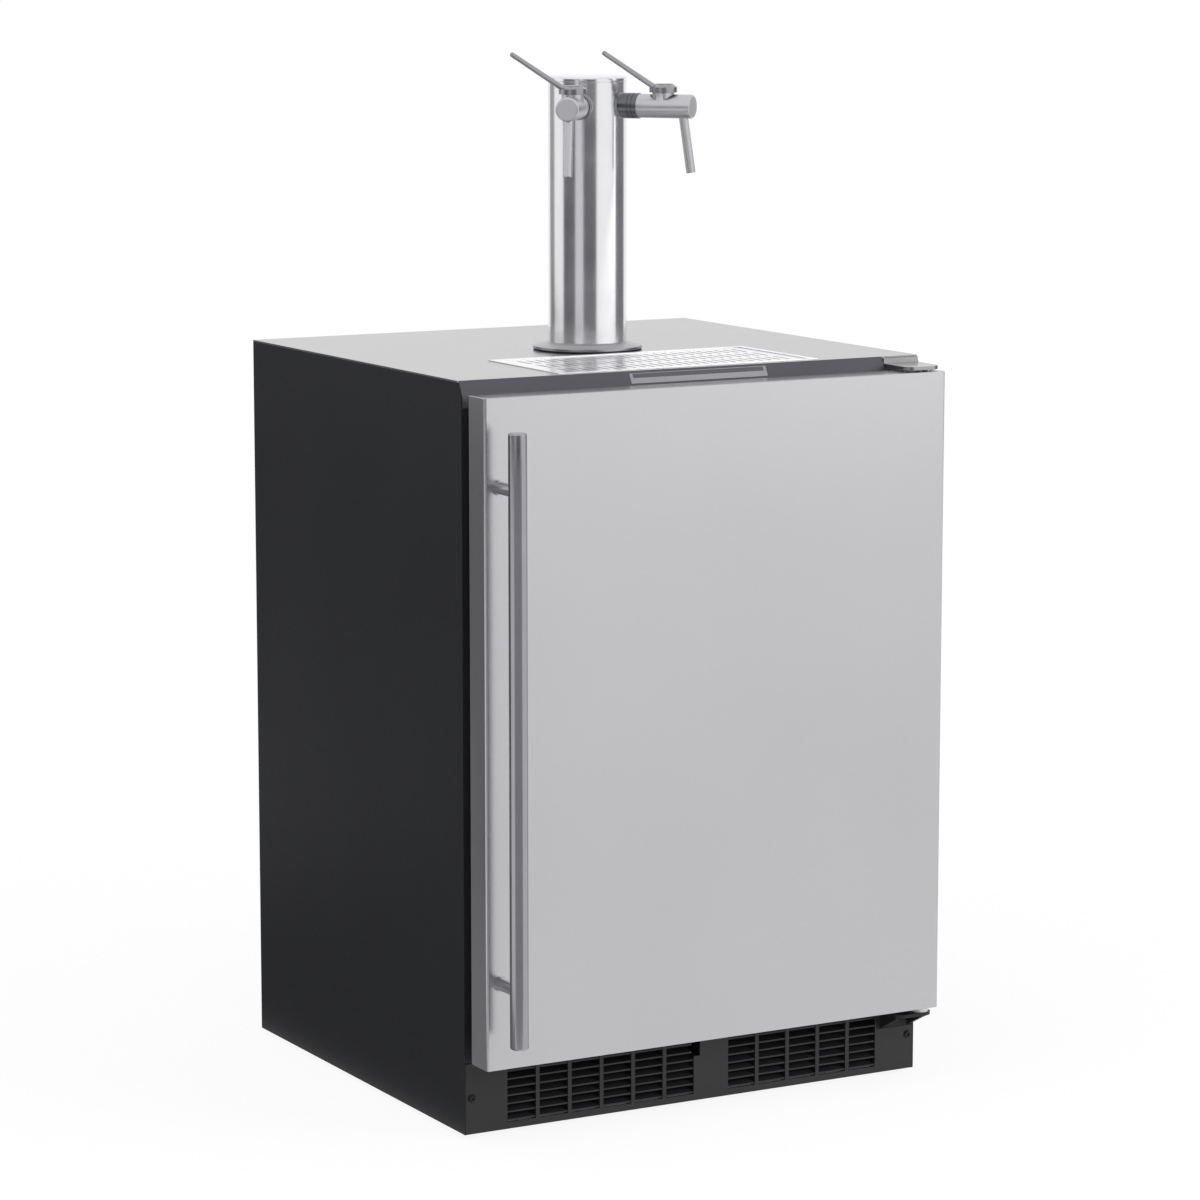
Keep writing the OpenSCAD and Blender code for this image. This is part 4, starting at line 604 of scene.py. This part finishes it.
def twisted_blade(shape, heading, root_r, tip_r, depth):
    """Adds one closed blade: its pitch falls and its leading edge sweeps on from root to tip."""
    thick, spans, chords = 1.6 * MM, 8, 8
    sweep = math.radians(14)
    layers = []
    for side in (-0.5, 0.5):
        grid = []
        for i in range(spans + 1):
            share = i / spans
            radius = root_r + (tip_r - root_r) * share
            pitch = math.radians(40 - 16 * share)
            # The chord stays within the hub's depth, and near the hub short enough to clear the next blade.
            chord = min(0.9 * (depth - thick) / math.sin(pitch), radius * 0.95)
            row = []
            for k in range(chords + 1):
                along = (k / chords - 0.5) * chord
                # The blade is hollowed a little across its chord.
                hollow = 0.08 * chord * (1 - (2 * k / chords - 1) ** 2)
                around = heading + sweep * share ** 2 + (along * math.cos(pitch)) / radius
                height = depth / 2 + along * math.sin(pitch) - hollow + side * thick
                row.append(shape.verts.new((radius * math.cos(around), radius * math.sin(around),
                                            min(max(height, 0), depth))))
            grid.append(row)
        layers.append(grid)
    low, high = layers
    for i in range(spans):
        for k in range(chords):
            for grid in (low, high):
                shape.faces.new((grid[i][k], grid[i + 1][k], grid[i + 1][k + 1], grid[i][k + 1]))
    rim = [(i, 0) for i in range(spans)] + [(spans, k) for k in range(chords)]
    rim += [(i, chords) for i in range(spans, 0, -1)] + [(0, k) for k in range(chords, 0, -1)]
    for (i, k), (m, n) in zip(rim, rim[1:] + rim[:1]):
        shape.faces.new((low[i][k], low[m][n], high[m][n], high[i][k]))


bellows_gasket()
fan_rotor("condenser_fan", "condenser_fan_spin", blades=7)
fan_rotor("evaporator_fan", "chamber_fan_spin", blades=7)


# Studio

def is_seen(tree):
    """1 for camera, mirror and glass rays, which all see the same white studio."""
    rays = add(tree, "ShaderNodeLightPath")
    first = add(tree, "ShaderNodeMath", {0: rays.outputs["Is Camera Ray"], 1: rays.outputs["Is Glossy Ray"]},
                operation="MAXIMUM").outputs[0]
    return add(tree, "ShaderNodeMath", {0: first, 1: rays.outputs["Is Transmission Ray"]},
               operation="MAXIMUM").outputs[0]


def studio_world():
    """White where it is seen, softer where it only lights."""
    fill_light = 0.55
    world = bpy.data.worlds.new("studio")
    bpy.context.scene.world = world
    world.use_nodes = True
    tree = world.node_tree
    tree.nodes.clear()
    level = add(tree, "ShaderNodeMapRange", {"Value": is_seen(tree), "To Min": fill_light, "To Max": 1.0})
    sky = add(tree, "ShaderNodeBackground", {"Color": linear("#ffffff"), "Strength": level.outputs[0]})
    add(tree, "ShaderNodeOutputWorld", {"Surface": sky.outputs[0]})


def flat_card(name, corners, material):
    """A flat stage card through four corners."""
    mesh = bpy.data.meshes.new(name)
    mesh.from_pydata([Vector(c) for c in corners], [], [(0, 1, 2, 3)])
    mesh.materials.append(material)
    card = bpy.data.objects.new(name, mesh)
    bpy.context.scene.collection.objects.link(card)
    return card


def studio_floor():
    """Pale floor that is white where it is seen and keeps a faint shadow of the object."""
    material, tree = new_finish("pale_floor")
    place = add(tree, "ShaderNodeTexCoord").outputs["Object"]
    away = add(tree, "ShaderNodeVectorMath", {0: place}, operation="LENGTH").outputs["Value"]
    # The shadow fades out between these two distances from the object.
    share = add(tree, "ShaderNodeMapRange", {"Value": away, "From Min": 0.5, "From Max": 1.6,
                                             "To Min": 0.9, "To Max": 1.0}).outputs[0]
    shown = add(tree, "ShaderNodeMath", {0: is_seen(tree), 1: share}, operation="MULTIPLY").outputs[0]
    paint = add(tree, "ShaderNodeBsdfDiffuse", {"Color": linear("#f4f4f4")})
    white = add(tree, "ShaderNodeEmission", {"Color": linear("#ffffff"), "Strength": 1.0})
    mixed = add(tree, "ShaderNodeMixShader", {0: shown, 1: paint.outputs[0], 2: white.outputs[0]})
    close_finish(tree, mixed)
    reach = 12
    corners = [(-reach, -reach, 0), (reach, -reach, 0), (reach, reach, 0), (-reach, reach, 0)]
    flat_card("floor", corners, material)


# The photograph's camera: place in metres, turn and dip in radians, lens in millimetres
CAMERA_AT = Vector((-2.458, -4.4078, 1.3625))
CAMERA_TURN = -0.508
CAMERA_DIP = 0.1563
CAMERA_LENS = 128.49


def mirror_card(name, corners, grey, glow=1.0):
    """A grey or glowing card that only mirrors show."""
    material, tree = new_finish(name)
    close_finish(tree, add(tree, "ShaderNodeEmission", {"Color": linear(grey), "Strength": glow}))
    card = flat_card(name, corners, material)
    card.visible_camera = False
    card.visible_diffuse = False
    card.visible_shadow = False
    card.visible_transmission = False


def standing_card(name, centre, turn, width, distance, low, high, grey):
    """An upright card at a distance from a centre, turned from the camera's direction by an angle."""
    camera_way = math.atan2(CAMERA_AT.y, CAMERA_AT.x)
    edges = [camera_way + math.radians(turn + side * width / 2) for side in (-1, 1)]
    feet = [Vector((centre.x + math.cos(a) * distance, centre.y + math.sin(a) * distance)) for a in edges]
    mirror_card(name, [(*feet[0], low), (*feet[1], low), (*feet[1], high), (*feet[0], high)], grey)


# Cards round the tower, which the column mirrors as its bands: turn and width in degrees, and grey
COLUMN_CARDS = {
    "column_card_back": (-126, 28, "#a0a0a4"),
    "column_card_left": (-54.5, 38, "#626266"),
    "column_card_middle": (-23.5, 24, "#d4d4d8"),
    "column_card_front": (7.6, 38, "#626266"),
    "column_card_right": (111.5, 42, "#77777b"),
}


def side_cards():
    """One card stands and one lies beside the cabinet. They keep the paint of its left side dark."""
    away, top, floor = -0.9, 0.8, 0.002
    front, back = 0.15, 3.5
    mirror_card("side_card", [(away, front, 0), (away, back, 0), (away, back, top), (away, front, top)],
                "#707072")
    near, front, back = -0.32, -0.4, 1.2
    mirror_card("side_floor_card", [(away, front, floor), (near, front, floor), (near, back, floor),
                                    (away, back, floor)], "#88888a")


def door_glow():
    """A strip of light in front of the door, lower at its right end, that makes the door's top lighter."""
    left, right, front = 0.2, 6.4, -3.6
    left_low, right_low, top = 0.95, 0.5, 1.5
    mirror_card("door_glow_card", [(left, front, left_low), (right, front, right_low), (right, front, top),
                                   (left, front, top)], "#ffffff", glow=2.6)


def studio_lamp(name, at, aim, size, power):
    """A soft square lamp that mirrors do not show, so that no view of the steel burns out."""
    data = bpy.data.lights.new(name, "AREA")
    data.size = size
    data.energy = power
    lamp = bpy.data.objects.new(name, data)
    bpy.context.scene.collection.objects.link(lamp)
    lamp.visible_glossy = False
    lamp.location = at
    lamp.rotation_euler = (Vector(aim) - Vector(at)).to_track_quat("-Z", "Y").to_euler()


def studio_camera():
    """The camera that was fitted to the cabinet's corners."""
    data = bpy.data.cameras.new("camera")
    data.lens = CAMERA_LENS
    camera = bpy.data.objects.new("camera", data)
    bpy.context.scene.collection.objects.link(camera)
    camera.location = CAMERA_AT
    camera.rotation_euler = (math.pi / 2 - CAMERA_DIP, 0, CAMERA_TURN)
    bpy.context.scene.camera = camera


bpy.context.scene.view_settings.view_transform = "Standard"
studio_world()
studio_floor()
studio_camera()
tower = (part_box("tower_column")[0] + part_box("tower_column")[1]) / 2
handle = (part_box("door_handle_bar")[0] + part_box("door_handle_bar")[1]) / 2
for name, (turn, width, grey) in COLUMN_CARDS.items():
    standing_card(name, tower, turn, width, distance=2.2, low=0.56, high=1.26, grey=grey)
# The white card keeps the glow in front of the door out of the column.
standing_card("column_card_white", tower, turn=58, width=56, distance=1.6, low=0.95, high=1.7, grey="#ffffff")
standing_card("handle_card", handle, turn=3, width=94, distance=0.6, low=0, high=0.74, grey="#b0b0b4")
side_cards()
door_glow()
studio_lamp("key_lamp", at=(2.4, -3.6, 2.2), aim=(0, 0, 0.6), size=2.0, power=110)
studio_lamp("top_lamp", at=(-0.6, -0.4, 3.4), aim=(0, 0, 0.8), size=2.5, power=60)
